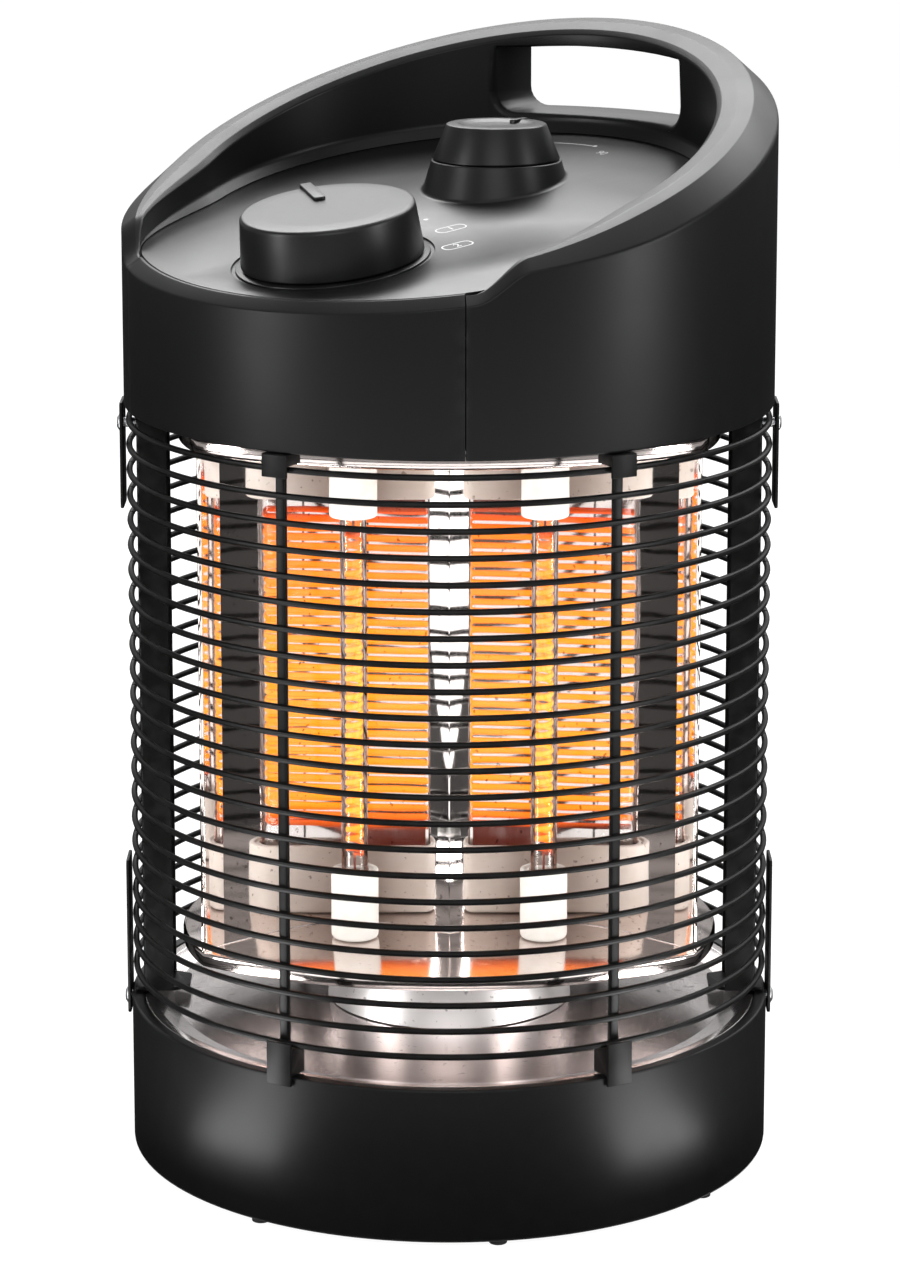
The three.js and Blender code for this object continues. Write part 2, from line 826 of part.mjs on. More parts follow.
function makeTopPlate() {
  const plate = rod(wallInner - seatGap, topPlateSheet, topPlateBottom, largeSteps);
  const bushHole = hubShaftRadius + shaftClearance + bushWall + shaftClearance;
  const height = topPlateSheet + 2 * overrun;
  const bottom = topPlateBottom - overrun;
  const shaftHole = placed(
    rod(knobShaftRadius + shaftClearance, height, bottom, smallSteps),
    new THREE.Matrix4().makeTranslation(0, knobOffset, 0),
  );
  return plate.subtract(rod(bushHole, height, bottom, mediumSteps)).subtract(shaftHole);
}

function makeHubBush() {
  const inner = hubShaftRadius + shaftClearance;
  const outer = inner + bushWall;
  const flangeBottom = topPlateTop + seatGap;
  return turned(
    [
      [inner, flangeBottom - bushLength],
      [outer, flangeBottom - bushLength],
      [outer, flangeBottom],
      [outer + bushFlange, flangeBottom],
      [outer + bushFlange, flangeBottom + bushFlangeHeight],
      [inner, flangeBottom + bushFlangeHeight],
    ],
    smallSteps,
  );
}

// A spur gear with straight-sided teeth. turn is in teeth: 0 puts a tooth at +Y, 0.5 a gap.
function makeGear(bore, turn) {
  const pitchRadius = knobOffset / 2;
  const outline = [];
  for (let i = 0; i < gearTeeth; i++) {
    for (const [radius, share] of [
      [pitchRadius - gearDedendum, -toothRootShare / 2],
      [pitchRadius + gearAddendum, -toothTipShare / 2],
      [pitchRadius + gearAddendum, toothTipShare / 2],
      [pitchRadius - gearDedendum, toothRootShare / 2],
    ]) {
      const angle = (2 * Math.PI * (i + turn + share)) / gearTeeth;
      outline.push([radius * Math.sin(angle), radius * Math.cos(angle)]);
    }
  }
  const gear = extruded(outline, gearHeight, gearBottom);
  return gear.subtract(rod(bore, gearHeight + 2 * overrun, gearBottom - overrun, smallSteps));
}

// Head

const halfSeam = THREE.MathUtils.radToDeg(seamGap / 2 / housingRadius);
const seamEdge = seamBearing + halfSeam;

// The rear shell's bearings: close together where it rises to its crest, wider apart round the back.
const shoulderEnd = seamBearing + shoulderStart + shoulderTurn;
const collarEnd = seamBearing + collarTurn;
const rearBearings = [
  ...stretch(seamEdge, shoulderEnd, shoulderSteps).slice(0, -1),
  ...stretch(shoulderEnd, collarEnd, thickeningSteps).slice(0, -1),
  ...stretch(collarEnd, 360 - collarEnd, backSteps),
  ...stretch(360 - collarEnd, 360 - shoulderEnd, thickeningSteps).slice(1),
  ...stretch(360 - shoulderEnd, 360 - seamEdge, shoulderSteps).slice(1),
];

function panelHeight(radius, bearing) {
  return panelZ - radius * Math.cos(radians(bearing)) * panelSlope;
}

// How far a bearing has gone past the seam, from 0 to 1 between two turns in degrees.
function pastSeam(bearing, from, to) {
  const fromFront = Math.abs(THREE.MathUtils.euclideanModulo(bearing + 180, 360) - 180);
  return smooth(seamBearing + from, seamBearing + to, fromFront);
}

function collarRadius(bearing) {
  return housingRadius - blend(collarThin, collarThick, pastSeam(bearing, 0, collarTurn));
}

function crestHeight(bearing) {
  const fromBack = radians(bearing - 180);
  const crest =
    headBottom + crestRise + crestSwing * Math.cos(fromBack) + crestLift * Math.cos(2 * fromBack);
  const share = pastSeam(bearing, shoulderStart, shoulderStart + shoulderTurn);
  return blend(panelHeight(housingRadius, bearing), crest, share);
}

// The crest's outline, from the outer wall over the top to the inner wall. inset draws it in.
function crestLine(bearing, inset) {
  const share = pastSeam(bearing, 0, collarTurn);
  const bevel = blend(crestBevelThin, crestBevelThick, share);
  const flank = blend(crestFlankThin, crestFlankThick, share);
  const roll = blend(crestRollThin, crestRollThick, share);
  const inner = collarRadius(bearing) + inset;
  const outer = housingRadius - inset;
  const top = crestHeight(bearing) - inset;
  const edge = outer - bevel;
  const shoulder = inner + roll;
  const fall = (edge - shoulder) * -Math.cos(radians(bearing)) * crestSlope;
  return [
    [outer, top - flank],
    [edge, top],
    [(edge + shoulder) / 2, top - fall / 2 + crestCrown * share],
    [shoulder, top - fall],
    [inner, top - fall - roll],
  ];
}

function makeRearShell() {
  const lip = housingRadius - lipInner;
  const shell = swept(
    (bearing) => {
      const line = crestLine(bearing, 0);
      const inner = collarRadius(bearing);
      const foot = panelHeight(inner, bearing) - panelThickness - collarBelowPanel;
      const ceiling = line[4][1] - collarSheet;
      return [
        [lip, headBottom],
        [housingRadius, headBottom],
        ...line,
        [inner, foot],
        [inner + collarSheet, foot],
        [inner + collarSheet, ceiling],
        [wallInner, Math.min(line[0][1], ceiling) - collarSheet],
        [wallInner, headBottom + lipThickness],
        [lip, headBottom + lipThickness],
      ];
    },
    rearBearings,
  );
  const opening = headBottom + handleRise;
  const blockBottom = opening - (handleHeight / 2) * (1 + handleFlareZ) - handleWall;
  const solidStretch = swept(
    (bearing) => [
      [collarRadius(bearing) + weldDepth, blockBottom],
      [housingRadius - weldDepth, blockBottom],
      ...crestLine(bearing, weldDepth),
    ],
    stretch(180 - handleTurn, 180 + handleTurn, halfRingSteps),
  );
  const fillet = swept(
    (bearing) => {
      const share = pastSeam(bearing, 0, collarTurn);
      const root = collarRadius(bearing) + weldDepth;
      const tip = collarRadius(bearing) - filletReach * share;
      return [
        [root, panelHeight(root, bearing) + seatGap],
        [tip, panelHeight(tip, bearing) + seatGap],
        [root, panelHeight(root, bearing) + seatGap + filletRise * share + weldDepth],
      ];
    },
    rearBearings.filter((bearing) => bearing > shoulderEnd && bearing < 360 - shoulderEnd),
  );
  return shell.add(solidStretch).add(fillet).subtract(makeHandleOpening(opening));
}

// The handle's opening, which runs through the collar from back to front and widens inwards.
function makeHandleOpening(height) {
  const [across, up] = [handleWidth / 2, handleHeight / 2];
  const shape = new THREE.Shape();
  shape.moveTo(-across, up);
  shape.lineTo(-across, handleCorner - up);
  shape.quadraticCurveTo(-across, -up, handleCorner - across, -up);
  shape.lineTo(across - handleCorner, -up);
  shape.quadraticCurveTo(across, -up, across, handleCorner - up);
  shape.lineTo(across, up);
  shape.quadraticCurveTo(0, up + 2 * handleArch, -across, up);
  const depth = collarThick * 2 + overrun;
  const geometry = new THREE.ExtrudeGeometry(shape, { depth, bevelEnabled: false, curveSegments: 4 });
  const position = geometry.getAttribute("position");
  for (let i = 0; i < position.count; i++) {
    const flare = (position.getZ(i) - overrun) / collarThick;
    position.setX(i, position.getX(i) * (1 + handleFlareX * flare));
    position.setY(i, position.getY(i) * (1 + handleFlareZ * flare) + handleFlareRise * flare);
  }
  geometry.rotateX(Math.PI / 2);
  return solidOf(geometry.translate(0, housingRadius + overrun, height));
}

function makeFrontCover() {
  const lip = housingRadius - lipInner;
  const edge = seamBearing - halfSeam;
  return swept(
    (bearing) => {
      const top = panelHeight(housingRadius, bearing);
      const inner = housingRadius - coverLip;
      const innerTop = panelHeight(inner, bearing);
      return [
        [lip, headBottom],
        [housingRadius, headBottom],
        [housingRadius, top - coverFlank],
        [housingRadius - coverBevel, panelHeight(housingRadius - coverBevel, bearing)],
        [inner, innerTop],
        [inner, innerTop - coverLipDepth],
        [wallInner, innerTop - coverLipDepth - coverLip],
        [wallInner, headBottom + lipThickness],
        [lip, headBottom + lipThickness],
      ];
    },
    stretch(-edge, edge, halfRingSteps),
  );
}

// The panel's own frame: its origin in the panel's top face under the large knob, and +Z square to it.
const panelFrame = new THREE.Matrix4()
  .makeTranslation(0, -knobForward, panelZ - knobForward * panelSlope)
  .multiply(new THREE.Matrix4().makeRotationX(radians(panelTilt)));

// Everything below a plane parallel to the panel, at a height over it.
function belowPanel(height) {
  const size = 4 * housingRadius;
  const slab = block(size, size, size, 0, 0, height - size);
  return placed(slab, panelFrame);
}

function makeControlPanel() {
  const bearings = [
    ...rearBearings,
    ...stretch(360 - seamBearing + halfSeam, 360 + seamBearing - halfSeam, halfRingSteps),
  ];
  const outline = bearings.map((bearing) => {
    const place = onBearing(collarRadius(bearing) - seatGap, bearing, 0);
    return [place.x, place.y];
  });
  const bottom = headBottom + lipThickness;
  const plug = extruded(outline, crestRise + crestSwing, bottom);
  const sheet = plug.intersect(belowPanel(0)).subtract(belowPanel(-panelThickness));
  const bossFlare = (bossFootRadius - bossTopRadius) / bossHeight;
  const bossDepth = 2 * bossHeight;
  const boss = turned(
    [
      [0, bossTop - bossDepth],
      [bossTopRadius + bossFlare * bossDepth, bossTop - bossDepth],
      [bossTopRadius, bossTop],
      [0, bossTop],
    ],
    mediumSteps,
  );
  const bossPlace = new THREE.Matrix4().makeTranslation(0, knobOffset, 0);
  const shaftHole = rod(
    knobShaftRadius + 2 * shaftClearance,
    bossDepth + 2 * overrun,
    bossTop - bossDepth - overrun,
    smallSteps,
  );
  const groove = turned(
    [
      [grooveRadius - grooveWidth / 2, -grooveDepth],
      [grooveRadius + grooveWidth / 2, -grooveDepth],
      [grooveRadius + grooveWidth / 2, overrun],
      [grooveRadius - grooveWidth / 2, overrun],
    ],
    mediumSteps,
  );
  const switchHole = rod(
    switchShaftRadius + 2 * shaftClearance,
    panelThickness + 2 * overrun,
    -panelThickness - overrun,
    smallSteps,
  );
  return sheet
    .add(placed(boss, bossPlace).subtract(belowPanel(-panelThickness / 2)))
    .subtract(placed(shaftHole, bossPlace))
    .subtract(placed(groove, panelFrame))
    .subtract(placed(switchHole, panelFrame));
}

const switchTop = -panelThickness - seatGap;

function makeRotarySwitch() {
  const body = block(switchSize, switchSize, switchHeight, 0, 0, switchTop - switchHeight);
  const boreRadius = switchShaftRadius + shaftClearance;
  const bore = rod(boreRadius, switchBoreDepth + overrun, switchTop - switchBoreDepth, smallSteps);
  return placed(body.subtract(bore), panelFrame);
}

function makeSwitchShaft() {
  const bottom = switchTop - switchBoreDepth + seatGap;
  const shaft = rod(switchShaftRadius, knobLift + shaftIntoKnob - bottom, bottom, smallSteps);
  return placed(shaft, panelFrame);
}

// A hollow knob cap: a skirt, a top and a hub with a blind bore, standing on the height given.
function knobCap(bottom, footRadiusOfKnob, topRadius, height, edge, shell, dish, bore, boreDepth) {
  const top = bottom + height;
  const hub = bore + knobHubWall;
  const ceiling = top - dish - 2 * shell;
  return turned(
    [
      [0, bottom + boreDepth],
      [bore, bottom + boreDepth],
      [bore, bottom],
      [hub, bottom],
      [hub, ceiling],
      [topRadius - 2 * shell, ceiling],
      [footRadiusOfKnob - 2 * shell, bottom],
      [footRadiusOfKnob, bottom],
      [topRadius, top - edge],
      [topRadius - edge, top],
      [0, top - dish],
    ],
    mediumSteps,
  );
}

function makePowerKnob() {
  const cap = knobCap(
    knobLift,
    knobSkirtRadius,
    knobTopRadius,
    knobHeight,
    knobEdge,
    knobShell,
    0,
    switchShaftRadius + shaftClearance,
    shaftIntoKnob + seatGap,
  );
  const length = pointerOuter - pointerInner;
  const pointer = placed(
    block(
      pointerWidth,
      length,
      pointerHeight + weldDepth,
      0,
      pointerInner + length / 2,
      knobLift + knobHeight - weldDepth,
    ),
    new THREE.Matrix4().makeRotationZ(radians(-pointerBearing)),
  );
  return placed(cap.add(pointer), panelFrame);
}

function makeDirectionKnob() {
  const bottom = bossTop + seatGap;
  const cap = knobCap(
    bottom,
    smallKnobRadius,
    smallKnobTopRadius,
    smallKnobHeight,
    smallKnobEdge,
    smallKnobShell,
    smallKnobDish,
    knobShaftRadius + shaftClearance,
    smallKnobHeight / 2 + seatGap,
  );
  const reach = smallKnobTopRadius - smallKnobEdge - smallPointerInner;
  const ridge = block(
    smallPointerWidth,
    reach,
    2 * smallKnobDish,
    0,
    smallPointerInner + reach / 2,
    bottom + smallKnobHeight - 2 * smallKnobDish,
  );
  return placed(cap.add(ridge), new THREE.Matrix4().makeTranslation(0, knobOffset, 0));
}

// Assembly

const heater = new THREE.Group();
heater.name = "patio_heater";

const base = new THREE.Group();
heater.add(base);
addPiece(base, "base_housing", makeBaseHousing(), "blackPlastic");
addPiece(base, "base_plate", makeBasePlate(), "plainSteel");
for (let i = 0; i < footCount; i++) addPiece(base, `foot_${i + 1}`, makeFoot(i), "rubber");
addPiece(base, "base_pan", makeBasePan(), "polishedMetal");
addPiece(base, "pedestal", makePedestal(), "polishedMetal");
addPiece(base, "cord_gland", makeCordGland(), "rubber");
for (const [name, size, place, finish] of [
  ["tilt_switch", tiltSwitchSize, tiltSwitchPlace, "switchBody"],
  ["terminal_block", terminalSize, terminalPlace, "acetal"],
]) {
  addPiece(base, name, block(...size, ...place, plateTop + seatGap), finish);
}

const cage = new THREE.Group();
cage.rotation.z = radians(lampBearing);
heater.add(cage);
addPiece(cage, "guard_front", makeGuardHalf(0), "blackPaint");
addPiece(cage, "guard_rear", makeGuardHalf(180), "blackPaint");
for (const [side, sideName] of [
  [-1, "left"],
  [1, "right"],
]) {
  addPiece(cage, `side_post_${sideName}`, makePost(side), "blackPaint");
  for (const [upper, level] of [
    [true, "upper"],
    [false, "lower"],
  ]) {
    addPiece(cage, `guard_bracket_${level}_${sideName}`, makeBracket(side, upper), "blackPaint");
    addPiece(cage, `bracket_screw_${level}_${sideName}`, makeBracketScrew(side, upper), "plainSteel");
  }
}
[-barBearing, barBearing, 180 - barBearing, 180 + barBearing].forEach((bearing, index) => {
  addPiece(cage, `guard_clip_upper_${index + 1}`, makeClip(bearing, true), "blackPaint");
  addPiece(cage, `guard_clip_lower_${index + 1}`, makeClip(bearing, false), "blackPaint");
});

const lampUnit = new THREE.Group();
lampUnit.rotation.z = radians(lampBearing);
heater.add(lampUnit);
addPiece(lampUnit, "lower_disc", makeDisc(lowerDiscFace, 1), "polishedMetal");
addPiece(lampUnit, "upper_disc", makeDisc(upperDiscFace, -1), "polishedMetal");
addPiece(lampUnit, "reflector", makeReflector(), "polishedMetal");
for (const [side, sideName] of [
  [-1, "left"],
  [1, "right"],
]) {
  const x = (side * tubeSpacing) / 2;
  addPiece(lampUnit, `quartz_tube_${sideName}`, makeQuartzTube(x), "quartz");
  addPiece(lampUnit, `heating_coil_${sideName}`, makeCoil(x), "glowingWire");
  addPiece(lampUnit, `ceramic_cap_lower_${sideName}`, makeCap(x, false), "ceramic");
  addPiece(lampUnit, `ceramic_cap_upper_${sideName}`, makeCap(x, true), "ceramic");
}
console.log("least gap between two turns of a coil, mm:", coilGap(coilPoints()).toFixed(2));

const drive = new THREE.Group();
heater.add(drive);
const hubShaftBottom = upperDiscFace + discSheet + seatGap;
const hubShaftTop = gearBottom + gearHeight + hubShaftOverGear;
const hubShaft = rod(hubShaftRadius, hubShaftTop - hubShaftBottom, hubShaftBottom, smallSteps);
addPiece(drive, "hub_shaft", hubShaft, "plainSteel");
addPiece(drive, "hub_gear", makeGear(hubShaftRadius + shaftClearance, 0.5), "acetal");
addPiece(drive, "hub_bush", makeHubBush(), "acetal");
addPiece(drive, "top_plate", makeTopPlate(), "plainSteel");
const knobShaftBottom = topPlateBottom - knobShaftBelowPlate;
const knobShaftTop = bossTop + seatGap + smallKnobHeight / 2;
const knobShaftLine = new THREE.Group();
knobShaftLine.position.y = knobOffset;
drive.add(knobShaftLine);
addPiece(
  knobShaftLine,
  "knob_shaft",
  rod(knobShaftRadius, knobShaftTop - knobShaftBottom, knobShaftBottom, smallSteps),
  "plainSteel",
);
addPiece(knobShaftLine, "knob_gear", makeGear(knobShaftRadius + shaftClearance, 0), "acetal");

const head = new THREE.Group();
heater.add(head);
addPiece(head, "front_cover", makeFrontCover(), "blackPlastic");
addPiece(head, "rear_shell", makeRearShell(), "blackPlastic");
addPiece(head, "control_panel", makeControlPanel(), "satinPlastic");
addPiece(head, "rotary_switch", makeRotarySwitch(), "switchBody");
addPiece(head, "switch_shaft", makeSwitchShaft(), "plainSteel");
addPiece(head, "power_knob", makePowerKnob(), "satinPlastic");
addPiece(head, "direction_knob", makeDirectionKnob(), "satinPlastic");

export default heater;
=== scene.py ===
# %% [markdown]
# # A small patio heater, dressed for its portrait
# The frame holds the heater at its real size: a black base, a wire guard, the lamp unit that turns inside it,
# and a control head with a carrying handle. Every place and size comes from there. This lesson gives the
# pieces that show their fine shape and finish. Lengths are in metres, and `mm` turns a size in millimetres
# into one. A bearing is an angle about the upright axis: 0 at the front (-Y), and growing towards +X.

# %% Load the frame
import math

import bpy
from mathutils import Matrix, Vector


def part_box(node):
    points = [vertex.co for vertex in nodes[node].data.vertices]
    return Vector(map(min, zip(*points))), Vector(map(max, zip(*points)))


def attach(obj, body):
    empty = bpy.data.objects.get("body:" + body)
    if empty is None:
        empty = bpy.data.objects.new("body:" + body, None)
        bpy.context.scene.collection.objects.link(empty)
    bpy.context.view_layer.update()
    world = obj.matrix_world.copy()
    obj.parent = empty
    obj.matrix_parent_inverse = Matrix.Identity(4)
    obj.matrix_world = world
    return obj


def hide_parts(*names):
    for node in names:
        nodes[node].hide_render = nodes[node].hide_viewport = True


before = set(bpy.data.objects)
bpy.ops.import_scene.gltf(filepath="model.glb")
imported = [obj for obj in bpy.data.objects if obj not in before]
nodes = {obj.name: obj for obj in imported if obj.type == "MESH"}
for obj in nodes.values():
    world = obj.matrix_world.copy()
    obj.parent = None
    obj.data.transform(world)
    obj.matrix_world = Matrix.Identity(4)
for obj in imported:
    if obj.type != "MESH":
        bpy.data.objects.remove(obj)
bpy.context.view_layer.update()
mm = 0.001
bpy.context.scene.view_settings.view_transform = "Standard"

# %% [markdown]
# ## Camera
# The photograph was taken with a long lens from slightly above, about two fifths of a right angle round
# to the right. The lens is given by its focal length in pixels of the photograph, and the shift slides the
# picture on the heater without tilting the camera, so the upright edges keep the photograph's lean.

# %% Camera
photo_height = 1273
focal_pixels = 4239
sensor_width = 36
shift_across, shift_up = 0.0006, -0.15
camera_bearing = math.radians(36.3)
camera_reach = 1541 * mm
camera_height = 569.9 * mm
camera_pitch = math.radians(11.12)

lens = bpy.data.cameras.new("portrait")
lens.sensor_width = sensor_width
lens.lens = sensor_width * focal_pixels / photo_height
lens.shift_x, lens.shift_y = shift_across, shift_up
camera = bpy.data.objects.new("portrait", lens)
bpy.context.scene.collection.objects.link(camera)
camera.location = (
    camera_reach * math.sin(camera_bearing),
    -camera_reach * math.cos(camera_bearing),
    camera_height,
)
camera.rotation_euler = (math.pi / 2 - camera_pitch, 0, camera_bearing)
bpy.context.scene.camera = camera
print("lens", round(lens.lens, 1), "mm")

# %% [markdown]
# ## Floor and light
# Black plastic shows only what it mirrors, so the light is shaped. Two tall strips to the sides draw the soft
# upright bands on the round casings, and two short strips on the floor carry these bands on down the base. Of
# the two broad panels at the back, the low one lights the sloping control panel and the high one the crest.
# A black flag lies on the floor, which only mirror rays see, because a casing that mirrors a white floor has
# pale edges. The surroundings are a plain light grey, which the polished reflector needs to look bright.

# %% Floor and light
stage_roughness, stage_gloss = 0.9, 0.1


def stage_material(name, colour, glow_share, glow):
    """A plain stage surface. To the camera, also through glass, a share of its look is a glow of its own."""
    material = bpy.data.materials.new(name)
    material.use_nodes = True
    tree = material.node_tree
    shader = tree.nodes["Principled BSDF"]
    shader.inputs["Base Color"].default_value = (*colour, 1)
    shader.inputs["Roughness"].default_value = stage_roughness
    shader.inputs["Specular IOR Level"].default_value = stage_gloss
    light = tree.nodes.new("ShaderNodeEmission")
    light.inputs["Strength"].default_value = glow
    rays = tree.nodes.new("ShaderNodeLightPath")
    seen = tree.nodes.new("ShaderNodeMath")
    seen.operation = "MAXIMUM"
    share = tree.nodes.new("ShaderNodeMath")
    share.operation = "MULTIPLY"
    share.inputs[1].default_value = glow_share
    mix = tree.nodes.new("ShaderNodeMixShader")
    tree.links.new(rays.outputs["Is Camera Ray"], seen.inputs[0])
    tree.links.new(rays.outputs["Is Transmission Ray"], seen.inputs[1])
    tree.links.new(seen.outputs[0], share.inputs[0])
    tree.links.new(share.outputs[0], mix.inputs[0])
    tree.links.new(shader.outputs[0], mix.inputs[1])
    tree.links.new(light.outputs[0], mix.inputs[2])
    tree.links.new(mix.outputs[0], tree.nodes["Material Output"].inputs["Surface"])
    return material


floor_size = 60
floor_colour = (0.86, 0.86, 0.86)
floor_glow_share, floor_glow = 0.85, 1.12
bpy.ops.object.select_all(action="DESELECT")
bpy.ops.mesh.primitive_plane_add(size=floor_size, location=(0, 0, 0))
floor = bpy.context.object
floor.name = "floor"
floor.data.materials.append(stage_material("pale_floor", floor_colour, floor_glow_share, floor_glow))

flag_width, flag_reach, flag_start, flag_lift = 8, 6, -0.35, 0.003
flag_colour = (0.004, 0.004, 0.004)
bpy.ops.mesh.primitive_plane_add(size=1)
flag = bpy.context.object
flag.name = "black_flag"
flag.scale = (flag_width, flag_reach, 1)
flag.rotation_euler = (0, 0, camera_bearing)
flag_middle = flag_start + flag_reach / 2
flag.location = (-flag_middle * math.sin(camera_bearing), flag_middle * math.cos(camera_bearing), flag_lift)
flag.data.materials.append(stage_material("flag_cloth", flag_colour, 0, 0))
flag.visible_camera = flag.visible_diffuse = flag.visible_shadow = flag.visible_transmission = False

world_colour, world_strength = (0.78, 0.78, 0.78, 1), 0.55
world = bpy.data.worlds.new("studio")
world.use_nodes = True
world.node_tree.nodes["Background"].inputs["Color"].default_value = world_colour
world.node_tree.nodes["Background"].inputs["Strength"].default_value = world_strength
bpy.context.scene.world = world

aim = Vector((0, 0, 0.2))


def softbox(name, bearing, rise, distance, width, height, watts):
    """A rectangular light that looks at the heater from a bearing and an angle above the floor."""
    light = bpy.data.lights.new(name, "AREA")
    light.shape = "RECTANGLE"
    light.size, light.size_y = width, height
    light.energy = watts
    lamp = bpy.data.objects.new(name, light)
    bpy.context.scene.collection.objects.link(lamp)
    turn, up = math.radians(bearing), math.radians(rise)
    way = Vector((math.sin(turn) * math.cos(up), -math.cos(turn) * math.cos(up), math.sin(up)))
    lamp.location = aim + way * distance
    lamp.rotation_euler = way.to_track_quat("Z", "Y").to_euler()
    lamp.visible_camera = False
    return lamp


for name, bearing, rise, distance, width, height, watts in [
    ("strip_left", -28, 6, 1.6, 0.22, 1.5, 30),
    ("strip_right", 100, 6, 1.6, 0.22, 1.5, 30),
    ("panel_back", 205, 28, 1.8, 2.2, 0.6, 9),
    ("crest_back", 204, 52, 1.8, 2.4, 0.7, 80),
    ("panel_top", 36, 78, 1.6, 1.2, 1.2, 7),
    ("fill_front", 36, 30, 1.8, 1.0, 0.7, 12),
]:
    softbox(name, bearing, rise, distance, width, height, watts)
floor_strip_start, floor_strip_length, floor_strip_width = 0.15, 0.24, 0.07
floor_strip_lift, floor_strip_watts = 0.01, 0.9
for name, bearing in (("floor_strip_left", -16), ("floor_strip_right", 88)):
    strip = softbox(name, bearing, 90, 1, floor_strip_width, floor_strip_length, floor_strip_watts)
    reach, turn = floor_strip_start + floor_strip_length / 2, math.radians(bearing)
    strip.location = (reach * math.sin(turn), -reach * math.cos(turn), floor_strip_lift)
    strip.rotation_euler = (math.pi, 0, turn)

# %% [markdown]
# ## Working by hand, in code
# Each piece starts as one point or one simple body, and is shaped in edit mode: extruded, spun, cut and
# bevelled. These helpers do what a modeller's hand does over and over: drop the selection, draw an
# outline point by point, spin it, lift it, cut one body with another. An outline's corner can carry a radius,
# which turns it into a short arc.

# %% Helpers for edit mode
def rest():
    """Back to object mode, with nothing selected."""
    if bpy.context.object and bpy.context.object.mode != "OBJECT":
        bpy.ops.object.mode_set(mode="OBJECT")
    bpy.ops.object.select_all(action="DESELECT")


def take(piece):
    """Makes one piece the selected and active one."""
    rest()
    bpy.context.view_layer.objects.active = piece
    piece.select_set(True)


def edit(piece, kind="VERT"):
    """Edit mode on one piece with all of it selected."""
    take(piece)
    bpy.ops.object.mode_set(mode="EDIT")
    bpy.ops.mesh.select_mode(type=kind)
    bpy.ops.mesh.select_all(action="SELECT")


def pick(piece, kind, test):
    """Edit mode with only the vertices, edges or faces that pass a test."""
    edit(piece, kind)
    bpy.ops.mesh.select_all(action="DESELECT")
    bpy.ops.object.mode_set(mode="OBJECT")
    things = {"VERT": piece.data.vertices, "EDGE": piece.data.edges, "FACE": piece.data.polygons}[kind]
    for thing in things:
        thing.select = test(thing)
    bpy.ops.object.mode_set(mode="EDIT")


def tidy(piece, doubles=0.002 * mm):
    """Merges doubles and turns all normals outwards."""
    edit(piece)
    bpy.ops.mesh.remove_doubles(threshold=doubles)
    bpy.ops.mesh.select_all(action="SELECT")
    bpy.ops.mesh.normals_make_consistent(inside=False)
    rest()


def modify(piece, kind, **settings):
    """Adds a modifier with its settings, and applies it."""
    take(piece)
    modifier = piece.modifiers.new(kind.lower(), kind)
    for key, value in settings.items():
        setattr(modifier, key, value)
    bpy.ops.object.modifier_apply(modifier=modifier.name)
    rest()


def cut(piece, cutter):
    """Cuts a body out of a piece, and drops the body."""
    modify(piece, "BOOLEAN", object=cutter, operation="DIFFERENCE", solver="EXACT")
    bpy.data.objects.remove(cutter)


def fuse(piece, *others):
    """Makes one body of a piece and others that reach into it."""
    for other in others:
        modify(piece, "BOOLEAN", object=other, operation="UNION", solver="EXACT")
        bpy.data.objects.remove(other)


def join(piece, *others):
    """Puts separate bodies into one object."""
    take(piece)
    for other in others:
        other.select_set(True)
    bpy.ops.object.join()
    rest()


def set_place(piece, move=(0, 0, 0), turn=(0, 0, 0)):
    """Turns, then moves a piece, and writes that into its mesh."""
    take(piece)
    piece.rotation_euler = turn
    piece.location = move
    bpy.ops.object.transform_apply(location=True, rotation=True, scale=True)
    rest()


def copy_of(piece, name):
    """A second piece with a mesh of its own."""
    twin = piece.copy()
    twin.data = piece.data.copy()
    twin.name = name
    bpy.context.scene.collection.objects.link(twin)
    return twin


def stretch(start, end, steps):
    """Evenly spaced values from start to end, both included."""
    return [start + (end - start) * i / steps for i in range(steps + 1)]


def circle(radius, count, up=0):
    """The corners of a round outline whose middle is raised by a height."""
    return [(radius * math.cos(a), up + radius * math.sin(a)) for a in stretch(0, 2 * math.pi, count)[:-1]]


def rounded(corners, closed=True, steps=4):
    """An outline with eased corners. A corner is (across, up) or (across, up, radius). The easing never takes
    more than its share of a side."""
    count = len(corners)
    side_share = 0.48
    line = []
    for i, corner in enumerate(corners):
        here = Vector(corner[:2])
        radius = corner[2] if len(corner) > 2 else 0
        at_end = not closed and i in (0, count - 1)
        if at_end or not radius:
            line.append(here)
            continue
        back = Vector(corners[i - 1][:2]) - here
        on = Vector(corners[(i + 1) % count][:2]) - here
        half = back.angle(on) / 2
        length = min(radius / math.tan(half), side_share * back.length, side_share * on.length)
        start, end = here + back.normalized() * length, here + on.normalized() * length
        for k in range(steps + 1):
            t = k / steps
            line.append(start * (1 - t) ** 2 + here * 2 * t * (1 - t) + end * t**2)
    return line


def drawn(name, line, closed=True, upright=True):
    """Draws an outline from one vertex, by extruding it from point to point: upright in XZ, or flat in XY."""
    points = [Vector((p[0], 0, p[1])) if upright else Vector((p[0], p[1], 0)) for p in line]
    rest()
    bpy.ops.mesh.primitive_plane_add(size=mm, location=(0, 0, 0))
    piece = bpy.context.object
    piece.name = piece.data.name = name
    bpy.ops.object.mode_set(mode="EDIT")
    bpy.ops.mesh.merge(type="CENTER")
    bpy.ops.transform.translate(value=points[0])
    for start, end in zip(points, points[1:] + points[:1] if closed else points[1:]):
        bpy.ops.mesh.extrude_vertices_move(TRANSFORM_OT_translate={"value": end - start})
    edit(piece)
    bpy.ops.mesh.remove_doubles(threshold=0.0005 * mm)
    rest()
    return piece


